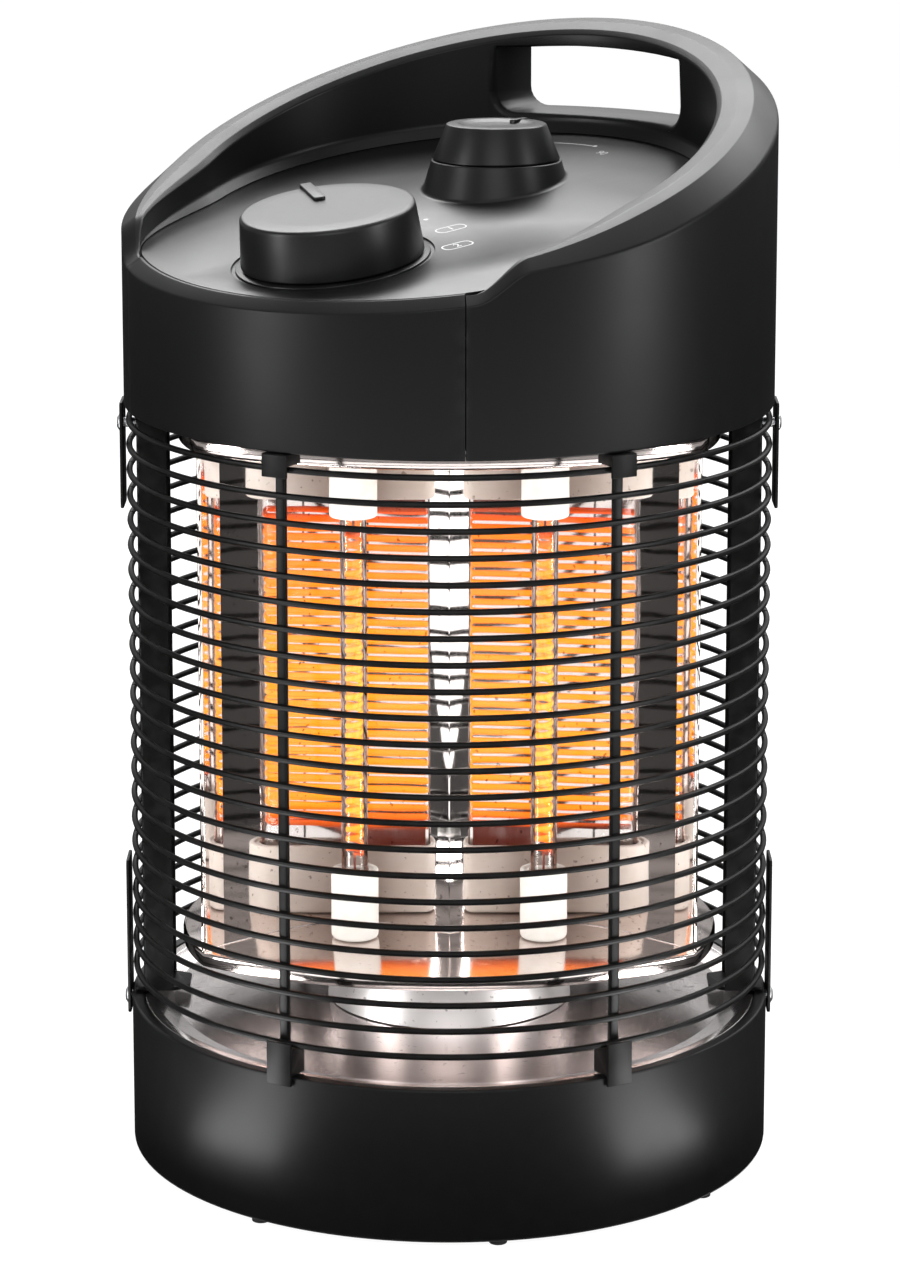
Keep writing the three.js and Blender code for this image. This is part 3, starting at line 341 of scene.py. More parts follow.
def spun(name, corners, steps=96, closed=True):
    """A body turned about the upright axis from an outline of (radius, height) corners."""
    piece = drawn(name, rounded(corners, closed), closed)
    edit(piece)
    bpy.ops.mesh.spin(steps=steps, angle=2 * math.pi, center=(0, 0, 0), axis=(0, 0, 1))
    tidy(piece)
    return piece


def lifted(name, corners, bottom, top):
    """A flat outline of (x, y) corners, filled, and extruded from one height to another."""
    piece = drawn(name, rounded(corners), True, upright=False)
    edit(piece)
    bpy.ops.transform.translate(value=(0, 0, bottom))
    bpy.ops.mesh.edge_face_add()
    bpy.ops.mesh.extrude_region_move(TRANSFORM_OT_translate={"value": (0, 0, top - bottom)})
    tidy(piece)
    return piece


def on_bearing(radius, bearing, height):
    """The place at a radius and a height on a bearing in degrees."""
    turn = math.radians(bearing)
    return Vector((radius * math.sin(turn), -radius * math.cos(turn), height))


def swept(name, section_at, bearings):
    """A body whose closed section of (radius, height) corners changes on its way round. The first section is
    spun into place, and each vertex then goes to where the section of its own bearing has it."""
    sections = [rounded(section_at(bearing)) for bearing in bearings]
    piece = drawn(name, sections[0])
    corner = piece.data.attributes.new("corner", "INT", "POINT")
    corner.data.foreach_set("value", list(range(len(piece.data.vertices))))
    steps = len(bearings) - 1
    whole = math.radians(300)
    slack = 0.001
    edit(piece)
    bpy.ops.mesh.spin(steps=steps, angle=whole, center=(0, 0, 0), axis=(0, 0, 1))
    rest()
    where = [item.value for item in piece.data.attributes["corner"].data]
    for vertex, index in zip(piece.data.vertices, where):
        around = (slack - math.atan2(vertex.co.y, vertex.co.x)) % (2 * math.pi) - slack
        step = round(around / whole * steps)
        at_radius, height = sections[step][index]
        vertex.co = on_bearing(at_radius, bearings[step], height)
    piece.data.attributes.remove(piece.data.attributes["corner"])
    edges_open = {}
    for polygon in piece.data.polygons:
        for key in polygon.edge_keys:
            edges_open[key] = edges_open.get(key, 0) + 1
    pick(piece, "EDGE", lambda edge: edges_open.get(tuple(sorted(edge.vertices)), 0) == 1)
    bpy.ops.mesh.fill_holes(sides=0)
    tidy(piece)
    return piece


pieces_made = []


def finished(piece, name, body, material, stands_for=(), smooth=35):
    """Names a piece, smooths it, gives it its finish, and lets it ride on its body."""
    take(piece)
    bpy.ops.object.transform_apply(location=True, rotation=True, scale=True)
    piece.name = piece.data.name = name
    bpy.ops.object.shade_smooth_by_angle(angle=math.radians(smooth))
    piece.data.materials.clear()
    piece.data.materials.append(material)
    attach(piece, body)
    if stands_for:
        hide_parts(*stands_for)
    rest()
    pieces_made.append(name)
    print("made", name, len(piece.data.polygons), "faces")


print("helpers ready")

# %% [markdown]
# ## Shared effects
# Several finishes need the same small things: the spark-eroded grain of moulded plastic, the paler line that
# handling leaves along an edge, and the streaks and slight waves of rolled sheet metal. Each is a node group
# with named inputs and outputs, built once. A group gives out only masks and heights; the shader that uses
# them stays in each material.

# %% Node helpers
def put(tree, kind, settings=None, **inputs):
    """Adds a node, with its settings and the values of its inputs, where _ stands for a space."""
    node = tree.nodes.new(kind)
    for key, value in (settings or {}).items():
        setattr(node, key, value)
    for key, value in inputs.items():
        node.inputs[key.replace("_", " ")].default_value = value
    return node


def wire(tree, source, target, output=0, entry=0):
    """Links an output of one node to an input of another, each given by its name or number."""
    tree.links.new(source.outputs[output], target.inputs[entry])


def new_group(name, inputs, outputs):
    """An empty node group with number sockets: inputs have a name and a value, outputs a name."""
    tree = bpy.data.node_groups.new(name, "ShaderNodeTree")
    for label, value in inputs:
        socket = tree.interface.new_socket(label, in_out="INPUT", socket_type="NodeSocketFloat")
        socket.default_value = value
    for label in outputs:
        tree.interface.new_socket(label, in_out="OUTPUT", socket_type="NodeSocketFloat")
    return tree, tree.nodes.new("NodeGroupInput"), tree.nodes.new("NodeGroupOutput")


# %% Moulded grain
grain_tree, grain_in, grain_out = new_group(
    "moulded_grain", [("Grain scale", 2600), ("Smudge scale", 18)], ["Height", "Smudge"]
)
place = put(grain_tree, "ShaderNodeTexCoord")
fine = put(grain_tree, "ShaderNodeTexNoise", Detail=3, Roughness=0.6)
broad = put(grain_tree, "ShaderNodeTexNoise", Detail=5, Roughness=0.65, Distortion=0.6)
soften = put(grain_tree, "ShaderNodeMapRange", From_Min=0.3, From_Max=0.7)
wire(grain_tree, place, fine, "Object", "Vector")
wire(grain_tree, place, broad, "Object", "Vector")
wire(grain_tree, grain_in, fine, "Grain scale", "Scale")
wire(grain_tree, grain_in, broad, "Smudge scale", "Scale")
wire(grain_tree, fine, grain_out, "Fac", "Height")
wire(grain_tree, broad, soften, "Fac", "Value")
wire(grain_tree, soften, grain_out, "Result", "Smudge")

# %% Edge wear
wear_tree, wear_in, wear_out = new_group("edge_wear", [("Breakup scale", 160)], ["Mask"])
shape = put(wear_tree, "ShaderNodeNewGeometry")
sharp = put(wear_tree, "ShaderNodeMapRange", From_Min=0.515, From_Max=0.6)
wear_place = put(wear_tree, "ShaderNodeTexCoord")
breakup = put(wear_tree, "ShaderNodeTexNoise", Detail=4)
patchy = put(wear_tree, "ShaderNodeMapRange", From_Min=0.4, From_Max=0.65)
both = put(wear_tree, "ShaderNodeMath", {"operation": "MULTIPLY"})
wire(wear_tree, shape, sharp, "Pointiness", "Value")
wire(wear_tree, wear_place, breakup, "Object", "Vector")
wire(wear_tree, wear_in, breakup, "Breakup scale", "Scale")
wire(wear_tree, breakup, patchy, "Fac", "Value")
wire(wear_tree, sharp, both, "Result", 0)
wire(wear_tree, patchy, both, "Result", 1)
wire(wear_tree, both, wear_out, 0, "Mask")

# %% Rolled sheet
sheet_tree, sheet_in, sheet_out = new_group(
    "rolled_sheet",
    [("Wave scale", 22), ("Streak scale", 900), ("Streak along", 0.02), ("Speck scale", 420)],
    ["Wave", "Streak", "Speck"],
)
sheet_place = put(sheet_tree, "ShaderNodeTexCoord")
wave = put(sheet_tree, "ShaderNodeTexNoise", Detail=2, Roughness=0.45)
across = put(sheet_tree, "ShaderNodeCombineXYZ", X=1, Y=1)
drawn_out = put(sheet_tree, "ShaderNodeVectorMath", {"operation": "MULTIPLY"})
streak = put(sheet_tree, "ShaderNodeTexNoise", Detail=3)
speck = put(sheet_tree, "ShaderNodeTexNoise", Detail=2)
few = put(sheet_tree, "ShaderNodeMapRange", From_Min=0.66, From_Max=0.74)
wire(sheet_tree, sheet_place, wave, "Object", "Vector")
wire(sheet_tree, sheet_in, wave, "Wave scale", "Scale")
wire(sheet_tree, sheet_in, across, "Streak along", "Z")
wire(sheet_tree, sheet_place, drawn_out, "Object", 0)
wire(sheet_tree, across, drawn_out, 0, 1)
wire(sheet_tree, drawn_out, streak, 0, "Vector")
wire(sheet_tree, sheet_in, streak, "Streak scale", "Scale")
wire(sheet_tree, sheet_place, speck, "Object", "Vector")
wire(sheet_tree, sheet_in, speck, "Speck scale", "Scale")
wire(sheet_tree, speck, few, "Fac", "Value")
wire(sheet_tree, wave, sheet_out, "Fac", "Wave")
wire(sheet_tree, streak, sheet_out, "Fac", "Streak")
wire(sheet_tree, few, sheet_out, "Result", "Speck")
print("node groups:", [tree.name for tree in bpy.data.node_groups])

# %% [markdown]
# ## Finishes
# The casings are black ABS with a fine grain. Its low gloss keeps the bands of light soft. The panel and the
# knobs are the same plastic, a little smoother, so they pick up the pale sheen of the photograph at the
# grazing angle. The guard wears satin stove paint. The sheets of the lamp unit are polished aluminium, and
# their slight waves break up what they mirror, as thin sheet does. The discs, the dish and the hub are duller
# by steps.

# %% A material's beginnings
def finish(name, colour, roughness, **sockets):
    """A material with a Principled shader whose plain values sit on the shader's own sockets."""
    material = bpy.data.materials.new(name)
    material.use_nodes = True
    shader = material.node_tree.nodes["Principled BSDF"]
    shader.inputs["Base Color"].default_value = (*colour, 1)
    shader.inputs["Roughness"].default_value = roughness
    for key, value in sockets.items():
        shader.inputs[key.replace("_", " ")].default_value = value
    return material, material.node_tree, shader


def effect(tree, group, **values):
    """Places a shared effect in a material, with its own values."""
    node = tree.nodes.new("ShaderNodeGroup")
    node.node_tree = group
    for key, value in values.items():
        node.inputs[key.replace("_", " ")].default_value = value
    return node


def spread(tree, source, output, low, high, target, entry):
    """Sends a mask on as a number that runs from low to high."""
    node = put(tree, "ShaderNodeMapRange", To_Min=low, To_Max=high)
    wire(tree, source, node, output, "Value")
    wire(tree, node, target, "Result", entry)


def tint(tree, source, output, first, second, shader):
    """Sends a mask on as a base colour between two."""
    node = put(tree, "ShaderNodeMix", {"data_type": "RGBA"})
    node.inputs[6].default_value = (*first, 1)
    node.inputs[7].default_value = (*second, 1)
    wire(tree, source, node, output, 0)
    wire(tree, node, shader, 2, "Base Color")


def raise_by(tree, source, output, distance, strength, shader):
    """Bumps the surface by a height."""
    node = put(tree, "ShaderNodeBump", Distance=distance, Strength=strength)
    wire(tree, source, node, output, "Height")
    wire(tree, node, shader, "Normal", "Normal")


grain_depth, grain_strength = 0.02 * mm, 0.35


def plastic(name, colour, worn, dull, shiny, grain, gloss):
    """Moulded plastic, or paint: fine grain, smudges between dull and shiny, and paler worn edges."""
    material, tree, shader = finish(name, colour, dull, **{"Specular IOR Level": gloss})
    moulded = effect(tree, grain_tree, Grain_scale=grain)
    edges = effect(tree, wear_tree)
    tint(tree, edges, "Mask", colour, worn, shader)
    spread(tree, moulded, "Smudge", dull, shiny, shader, "Roughness")
    raise_by(tree, moulded, "Height", grain_depth, grain_strength, shader)
    return material


black_plastic = plastic("black_plastic", (0.003, 0.003, 0.0032), (0.012, 0.012, 0.0125),
                        0.42, 0.36, 2600, 0.11)
satin_plastic = plastic("satin_plastic", (0.004, 0.004, 0.0042), (0.016, 0.016, 0.0165),
                        0.4, 0.34, 3200, 0.17)
black_paint = plastic("black_paint", (0.002, 0.0019, 0.0018), (0.007, 0.007, 0.007), 0.45, 0.34, 900, 0.09)
rubber = plastic("rubber", (0.008, 0.008, 0.008), (0.02, 0.02, 0.02), 0.85, 0.75, 1800, 0.3)
switch_body = plastic("switch_body", (0.02, 0.02, 0.019), (0.05, 0.05, 0.05), 0.55, 0.45, 2200, 0.45)
acetal = plastic("acetal", (0.74, 0.72, 0.66), (0.82, 0.8, 0.76), 0.45, 0.35, 2600, 0.5)
pale_print = plastic("pale_print", (0.5, 0.5, 0.5), (0.42, 0.42, 0.42), 0.6, 0.5, 4200, 0.4)


# %% Metals
def sheet_metal(name, colour, stained, smooth, streaked, wave, wave_height, along):
    """Sheet metal: waves bend what it mirrors, streaks blur it along the rolling, and specks dot it."""
    material, tree, shader = finish(name, colour, smooth, Metallic=1)
    rolled = effect(tree, sheet_tree, Wave_scale=wave, Streak_along=along)
    tint(tree, rolled, "Speck", colour, stained, shader)
    spread(tree, rolled, "Streak", smooth, streaked, shader, "Roughness")
    raise_by(tree, rolled, "Wave", wave_height, 1, shader)
    return material


# The warm pink in these aluminium colours is partly a heat tint of the sheet and partly a painted reflection
# of the coils' warm glow.
mirror_metal = sheet_metal("polished_metal", (0.77, 0.7, 0.67), (0.4, 0.33, 0.3),
                           0.02, 0.06, 24, 0.22 * mm, 0.02)
disc_metal = sheet_metal("disc_metal", (0.74, 0.66, 0.63), (0.4, 0.33, 0.3), 0.08, 0.14, 24, 0.06 * mm, 0.02)
spun_metal = sheet_metal("spun_metal", (0.84, 0.79, 0.78), (0.45, 0.42, 0.42), 0.11, 0.22, 14, 0.3 * mm, 1)
hub_metal = sheet_metal("hub_metal", (0.84, 0.81, 0.8), (0.45, 0.42, 0.42), 0.36, 0.48, 14, 0.3 * mm, 1)
plain_steel = sheet_metal("plain_steel", (0.5, 0.51, 0.52), (0.3, 0.3, 0.31), 0.3, 0.42, 30, 0.1 * mm, 0.1)

# %% Quartz, wire and ceramic
quartz, tree, shader = finish("quartz", (1, 1, 1), 0.01, IOR=1.46, **{"Transmission Weight": 1})
drawn_tube = effect(tree, sheet_tree, Wave_scale=160, Streak_along=0.05)
raise_by(tree, drawn_tube, "Wave", 0.02 * mm, 1, shader)
spread(tree, drawn_tube, "Streak", 0.0, 0.02, shader, "Roughness")
# Painted shade: where the tube is seen edge-on, the glass's colour turns a dark red-brown, warmed like the
# coil's glow.
slant = put(tree, "ShaderNodeLayerWeight", Blend=0.35)
painted_rim_shade = put(tree, "ShaderNodeMapRange", From_Min=0.2, From_Max=0.38)
wire(tree, slant, painted_rim_shade, "Facing", "Value")
tint(tree, painted_rim_shade, "Result", (1, 1, 1), (0.06, 0.015, 0.008), shader)

tube_low, tube_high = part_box("quartz_tube_left")
glowing_wire, tree, shader = finish("glowing_wire", (0.12, 0.03, 0.01), 0.6)
where = put(tree, "ShaderNodeTexCoord")
split = put(tree, "ShaderNodeSeparateXYZ")
along = put(tree, "ShaderNodeMapRange", From_Min=tube_low.z, From_Max=tube_high.z)
uneven = put(tree, "ShaderNodeTexNoise", Scale=140, Detail=2)
shift = put(tree, "ShaderNodeMath", {"operation": "MULTIPLY_ADD"})
uneven_share = 0.05
shift.inputs[1].default_value = uneven_share
heat = put(tree, "ShaderNodeValToRGB")
stops = heat.color_ramp.elements
cold = (0.05, 0.002, 0.0, 1)
stops[0].position, stops[0].color = 0.088, cold
stops[1].position, stops[1].color = 0.968, cold
for spot, colour in [(0.11, (0.8, 0.12, 0.006, 1)), (0.17, (1, 0.34, 0.014, 1)), (0.55, (1, 0.37, 0.016, 1)),
                     (0.89, (1, 0.24, 0.01, 1)), (0.942, (0.85, 0.1, 0.005, 1))]:
    stop = stops.new(spot)
    stop.color = colour
wire(tree, where, split, "Object", "Vector")
wire(tree, split, along, "Z", "Value")
wire(tree, where, uneven, "Object", "Vector")
wire(tree, uneven, shift, "Fac", 0)
wire(tree, along, shift, "Result", 2)
wire(tree, shift, heat, 0, "Fac")
# Painted shade: the glow turns darker and redder where the ribbon's faces slope up or down towards the next
# turn, so the turns read as strands with dark gaps between them.
facing = put(tree, "ShaderNodeNewGeometry")
facing_split = put(tree, "ShaderNodeSeparateXYZ")
slope = put(tree, "ShaderNodeMath", {"operation": "ABSOLUTE"})
painted_strand_shade = put(tree, "ShaderNodeMapRange", From_Min=0.35, From_Max=0.95)
glow_with_strand_shade = put(tree, "ShaderNodeMix", {"data_type": "RGBA", "blend_type": "MULTIPLY"})
strand_shade_colour, wire_glow = (0.75, 0.16, 0.06, 1), 1.9
glow_with_strand_shade.inputs[7].default_value = strand_shade_colour
wire(tree, facing, facing_split, "Normal", "Vector")
wire(tree, facing_split, slope, "Z", 0)
wire(tree, slope, painted_strand_shade, 0, "Value")
wire(tree, painted_strand_shade, glow_with_strand_shade, "Result", 0)
wire(tree, heat, glow_with_strand_shade, "Color", 6)
wire(tree, glow_with_strand_shade, shader, 2, "Emission Color")
shader.inputs["Emission Strength"].default_value = wire_glow

ceramic, tree, shader = finish("ceramic", (0.93, 0.91, 0.87), 0.7)
fired = effect(tree, grain_tree, Grain_scale=1500, Smudge_scale=60)
tint(tree, fired, "Smudge", (0.95, 0.93, 0.89), (0.84, 0.79, 0.72), shader)
raise_by(tree, fired, "Height", 0.06 * mm, 0.6, shader)
spread(tree, fired, "Smudge", 0.62, 0.8, shader, "Roughness")
print("materials:", len(bpy.data.materials))

# %% [markdown]
# ## What stays as it is
# Inside the base and the head sit plain blocks, gears and shafts. Their shape is right in the frame, so they
# only get their finish.

# %% Finishes of the inner pieces
inner_finishes = {
    "base_plate": plain_steel, "top_plate": plain_steel, "hub_shaft": plain_steel, "knob_shaft": plain_steel,
    "switch_shaft": plain_steel, "hub_gear": acetal, "knob_gear": acetal, "hub_bush": acetal,
    "terminal_block": acetal, "tilt_switch": switch_body, "rotary_switch": switch_body,
}
for name, material in inner_finishes.items():
    nodes[name].data.materials.clear()
    nodes[name].data.materials.append(material)
print("kept nodes:", sorted(inner_finishes))

# %% [markdown]
# ## Base
# The base is a round plastic pot with a narrow flat rim. A polished dish closes its top, and a
# spun hub carries the lamp unit. All three are turned shapes, so each is one outline, drawn corner by corner
# and spun. A sheet's outline is drawn with its thickness, which keeps the wall even.

# %% Driving sizes from the frame
base_low, base_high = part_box("base_housing")
radius = base_high.x
foot_height = base_low.z
base_top = base_high.z
head_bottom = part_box("front_cover")[0].z
wall = 2.5 * mm
wall_inner = radius - wall
gap = 0.3 * mm
overrun = 2 * mm
lamp_bearing = 36.3
lamp_turn = math.radians(lamp_bearing)
around_many, around_few, around_spot = 144, 48, 24
sides = ((-1, "left"), (1, "right"))

# %% How far corners are eased
tight, crisp, slight, gentle, mild, easy = (size * mm for size in (0.2, 0.3, 0.4, 0.5, 0.6, 0.8))
sheet_bend = 0.25 * mm

# %% Base housing
rim_width, rim_depth = 4.3 * mm, 1.5 * mm
ledge_width, ledge_thickness = 2.7 * mm, 1.8 * mm
flange_width, flange_thickness = 6.5 * mm, 2 * mm
base_easing = 1.4 * mm
rim_easing = 1 * mm
inner_easing = 0.4 * mm
ledge_top = base_top - rim_depth
ledge_edge = radius - rim_width - ledge_width
base_housing = spun("base_housing", [
    (wall_inner - flange_width, foot_height, inner_easing),
    (radius, foot_height, base_easing),
    (radius, base_top, rim_easing),
    (radius - rim_width, base_top, inner_easing),
    (radius - rim_width, ledge_top),
    (ledge_edge, ledge_top, inner_easing),
    (ledge_edge, ledge_top - ledge_thickness, inner_easing),
    (wall_inner, ledge_top - ledge_thickness - wall),
    (wall_inner, foot_height + flange_thickness, inner_easing),
    (wall_inner - flange_width, foot_height + flange_thickness, inner_easing),
], around_many)


def drill(name, hole_radius, bearing, height, start, end):
    """A round cutting body that lies along a bearing, between two radii."""
    drill_body = lifted(name, circle(hole_radius, around_few), start, end)
    set_place(drill_body, turn=(math.pi / 2, 0, math.radians(bearing)), move=(0, 0, height))
    return drill_body


gland_height, gland_radius = 22 * mm, 5.7 * mm
cut(base_housing, drill("gland_hole", gland_radius + gap, 180, gland_height,
                        wall_inner - overrun, radius + overrun))
screw_radius = 1.8 * mm
screw_drop = 4.4 * mm
for side in (90, -90):
    cut(base_housing, drill("screw_hole", screw_radius + gap, lamp_bearing + side, base_top - screw_drop,
                            wall_inner - overrun, radius + overrun))
finished(base_housing, "base_casing", "base", black_plastic, ["base_housing"])

# %% Feet
foot_count, foot_radius = 8, 3.3 * mm
foot_model = spun("foot", [(0, 0), (foot_radius, 0, gentle), (foot_radius, foot_height), (0, foot_height)],
                  around_few, closed=False)
for i in range(1, foot_count + 1):
    low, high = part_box(f"foot_{i}")
    foot = copy_of(foot_model, f"rubber_foot_{i}")
    set_place(foot, move=((low.x + high.x) / 2, (low.y + high.y) / 2, 0))
    finished(foot, f"rubber_foot_{i}", "base", rubber, [f"foot_{i}"])
bpy.data.objects.remove(foot_model)

# %% Dish
pan_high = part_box("base_pan")[1]
dish_radius, dish_top = pan_high.x, pan_high.z
dish_sheet, dish_depth = 0.8 * mm, 2.6 * mm
dish_flange, dish_slope, dish_hole = 3.4 * mm, 8 * mm, 10 * mm
dish_floor = dish_top - dish_depth
flange_inner = dish_radius - dish_flange
floor_radius = flange_inner - dish_slope
bend = 2.4 * mm
pan = spun("dish", [
    (dish_hole, dish_floor - dish_sheet),
    (floor_radius, dish_floor - dish_sheet, bend),
    (flange_inner, dish_top - dish_sheet, bend),
    (dish_radius, dish_top - dish_sheet, crisp),
    (dish_radius, dish_top, crisp),
    (flange_inner, dish_top, bend),
    (floor_radius, dish_floor, bend),
    (dish_hole, dish_floor),
], around_many)
finished(pan, "dish", "base", spun_metal, ["base_pan"])

# %% Pedestal
ped_low, ped_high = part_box("pedestal")
disc_face = ped_high.z
disc_sheet = 1 * mm
ped_top = disc_face - disc_sheet - gap
ped_rise = ped_top - ped_low.z
ped_radius, ped_waist, ped_crown = 46 * mm, 40 * mm, 34 * mm
waist_share = 0.73
ped_sheet, waist_lap, crown_bend = 1 * mm, 1 * mm, 2 * mm
pin_radius = 4 * mm
waist = ped_low.z + waist_share * ped_rise
swell = 9 * mm
pedestal = spun("hub", [
    (ped_radius - ped_sheet, ped_low.z),
    (ped_radius, ped_low.z, slight),
    (ped_waist + waist_lap, waist, swell),
    (ped_crown, ped_top, crown_bend),
    (pin_radius, ped_top, slight),
    (pin_radius, disc_face, slight),
    (0, disc_face),
    (0, ped_top - ped_sheet),
    (ped_crown - ped_sheet, ped_top - ped_sheet, crown_bend / 2),
    (ped_waist, waist, swell),
], around_many)
finished(pedestal, "spun_hub", "base", hub_metal, ["pedestal"])

# %% [markdown]
# ## Lamp unit
# Two polished discs with bent rims hold the reflector between them. The reflector is one sheet with two
# parabolic troughs: each has a quartz tube on its focal line, so from in front the whole trough fills with
# the image of the glowing coil. The line of its section is drawn, lifted to its height as a sheet, and given
# a wall by Solidify.

# %% Discs
disc_low, disc_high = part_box("lower_disc")
lower_face, upper_face = disc_high.z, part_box("upper_disc")[0].z
disc_rim = disc_high.z - disc_low.z
disc_radius, disc_front, disc_front_radius = 100.5 * mm, 72 * mm, 157 * mm
disc_easing, bead = 1.2 * mm, 0.3 * mm
side_points, front_points = 110, 40


def disc_outline(inset):
    """Round at the sides and the back, and flatter in front: two arcs that meet in a corner on each side."""
    narrow, wide, middle = disc_radius - inset, disc_front_radius - inset, disc_front_radius - disc_front
    corner = (narrow**2 - wide**2 + middle**2) / (2 * middle)
    turn = math.asin(corner / narrow)
    swing = math.asin(narrow * math.cos(turn) / wide)
    line = [(narrow * math.cos(a), narrow * math.sin(a)) for a in stretch(turn, math.pi - turn, side_points)]
    for a in stretch(-math.pi / 2 - swing, -math.pi / 2 + swing, front_points)[1:-1]:
        line.append((wide * math.cos(a), middle + wide * math.sin(a)))
    return line


def ease_level(piece, height, width, segments):
    """Rounds the edges that lie level at a height."""
    points = piece.data.vertices
    tolerance = 0.01 * mm
    pick(piece, "EDGE", lambda edge: all(abs(points[i].co.z - height) < tolerance for i in edge.vertices)
         and points[edge.vertices[0]].co.xy.length > disc_front / 2)
    bpy.ops.mesh.bevel(offset=width, segments=segments, affect="EDGES", clamp_overlap=False)
    rest()


def make_disc(name, face, side):
    """A flat plate with its rim bent away from the lamp unit's middle."""
    back, foot = face - side * disc_sheet, face - side * disc_rim
    disc = lifted(name, disc_outline(0), face, foot)
    ease_level(disc, face, disc_easing, 4)
    hollow = lifted("hollow", disc_outline(disc_sheet), back, foot - side * overrun)
    ease_level(hollow, back, disc_easing / 2, 3)
    cut(disc, hollow)
    ease_level(disc, foot, bead, 2)
    below, above = face - disc_rim * 2, face + disc_rim * 2
    cut(disc, spun("hole", [(0, below), (pin_radius + gap, below), (pin_radius + gap, above), (0, above)],
                   around_few, closed=False))
    tidy(disc)
    set_place(disc, turn=(0, 0, lamp_turn))
    return disc


for node, name, face, side in (("lower_disc", "lower_reflecting_disc", lower_face, 1),
                               ("upper_disc", "upper_reflecting_disc", upper_face, -1)):
    finished(make_disc(name, face, side), name, "lamp_unit", disc_metal, [node])

# %% Reflector
tube_spacing, tube_forward = 70.3 * mm, 23 * mm
trough_forward, ridge_forward = 4.6 * mm, 19.1 * mm
trough_inner, trough_outer = 7 * mm, 66.5 * mm
wing_reach, wing_forward = 17 * mm, 15 * mm
side_reach, side_forward = 6.3 * mm, 8.5 * mm
lip_reach, hem, hem_stretch = 1.1 * mm, 0.5 * mm, 1.6
sheet = 0.8 * mm
trough_points, hem_points = 28, 12
tube_x = tube_spacing / 2
focus = tube_forward - trough_forward


def trough_line():
    """Half of the reflector's section, from the ridge out to the lip."""
    line = [(0, -ridge_forward, mild)]
    for x in stretch(trough_inner, trough_outer, trough_points):
        line.append((x, -trough_forward - (x - tube_x) ** 2 / (4 * focus)))
    for sideways, forwards in [(wing_reach, wing_forward), (side_reach, side_forward), (lip_reach, 0)]:
        x, y = line[-1][:2]
        line.append((x + sideways, y - forwards, mild))
    return line


half = trough_line()
whole_line = rounded([(-x, y, *r) for x, y, *r in reversed(half[1:])] + half, closed=False)
reflector_bottom, reflector_top = lower_face + gap, upper_face - gap
reflector = drawn("reflector_sheet", whole_line, closed=False, upright=False)
edit(reflector)
bpy.ops.transform.translate(value=(0, 0, reflector_bottom))
bpy.ops.mesh.extrude_region_move(
    TRANSFORM_OT_translate={"value": (0, 0, reflector_top - reflector_bottom)}
)
tidy(reflector)
looking_back = sum(polygon.normal.y for polygon in reflector.data.polygons) > 0
if looking_back:
    edit(reflector)
    bpy.ops.mesh.flip_normals()
    rest()
modify(reflector, "SOLIDIFY", thickness=sheet, offset=-1, use_even_offset=True)
tidy(reflector)
for side in (-1, 1):
    lip_x, lip_y = half[-1][0] * side, half[-1][1]
    roll = lifted("hem", [(lip_x + hem * math.cos(a), lip_y + sheet / 2 + hem_stretch * hem * math.sin(a))
                          for a in stretch(0, 2 * math.pi, hem_points)[:-1]], reflector_bottom, reflector_top)
    fuse(reflector, roll)
set_place(reflector, turn=(0, 0, lamp_turn))
finished(reflector, "reflector_sheet", "lamp_unit", mirror_metal, ["reflector"], smooth=24)

# %% [markdown]
# ## Heating tubes
# Each tube is clear quartz with a coil of resistance wire inside, cemented into a ceramic cap at each end.
# The coil is the one winding of this object: a small oval section, screwed up the tube by the Screw
# modifier, with a straight lead at each end. The photograph shows 34 turns.

# %% Tubes, coils and caps
quartz_radius, quartz_wall = 4.9 * mm, 0.9 * mm
tube_bottom, tube_top = tube_low.z, tube_high.z
cap_radius, cap_easing = 8.8 * mm, 1.7 * mm
cap_seat, mouth_easing_share = 4 * mm, 1.3
socket, mouth_width = 0.35 * mm, 2.2 * mm
cement_width, cement_sink, cement_rise = 1.6 * mm, 0.9 * mm, 0.2 * mm
coil_radius, coil_turns, coil_lead = 2.9 * mm, 34, 10 * mm
ribbon_depth, ribbon_height = 0.45 * mm, 1.15 * mm
coil_steps, ribbon_sides, lead_sides = 14, 8, 8
lead_radius = 0.45 * mm


def make_coil(name):
    """An oval section carried up and round, between two straight leads."""
    low, high = tube_bottom + coil_lead, tube_top - coil_lead
    section = [(coil_radius + ribbon_depth * math.cos(a), low + ribbon_height * math.sin(a))
               for a in stretch(0, 2 * math.pi, ribbon_sides)[:-1]]
    coil = drawn(name, section)
    modify(coil, "SCREW", steps=coil_steps, render_steps=coil_steps, iterations=coil_turns,
           screw_offset=(high - low) / coil_turns, axis="Z", angle=2 * math.pi)
    tidy(coil)
    for end, start, middle in ((low, tube_bottom + gap, low), (high, high, tube_top - gap)):
        lead = spun("lead", [(0, start), (lead_radius, start), (lead_radius, middle), (0, middle)],
                    lead_sides, closed=False)
        arm = lifted("arm", [(-lead_radius, -lead_radius), (coil_radius, -lead_radius),
                             (coil_radius, lead_radius), (-lead_radius, lead_radius)],
                     end - lead_radius, end + lead_radius)
        join(coil, lead, arm)
    pick(coil, "EDGE", lambda edge: False)
    bpy.ops.mesh.select_non_manifold()
    bpy.ops.mesh.fill_holes(sides=0)
    tidy(coil)
    return coil


def make_cap(name, bottom, height, mouth_up):
    """A ceramic cap with a seat for the tube, and a collar of cement in its mouth."""
    mouth, far = (bottom + height, bottom) if mouth_up else (bottom, bottom + height)
    way = 1 if mouth_up else -1
    return spun(name, [
        (0, far),
        (cap_radius, far, cap_easing),
        (cap_radius, mouth, cap_easing * mouth_easing_share),
        (quartz_radius + mouth_width, mouth, slight),
        (quartz_radius + cement_width, mouth - way * cement_sink, mild),
        (quartz_radius + socket, mouth - way * cement_rise, slight),
        (quartz_radius + socket, mouth - way * (cap_seat + gap)),
        (0, mouth - way * (cap_seat + gap)),
    ], around_few, closed=False)


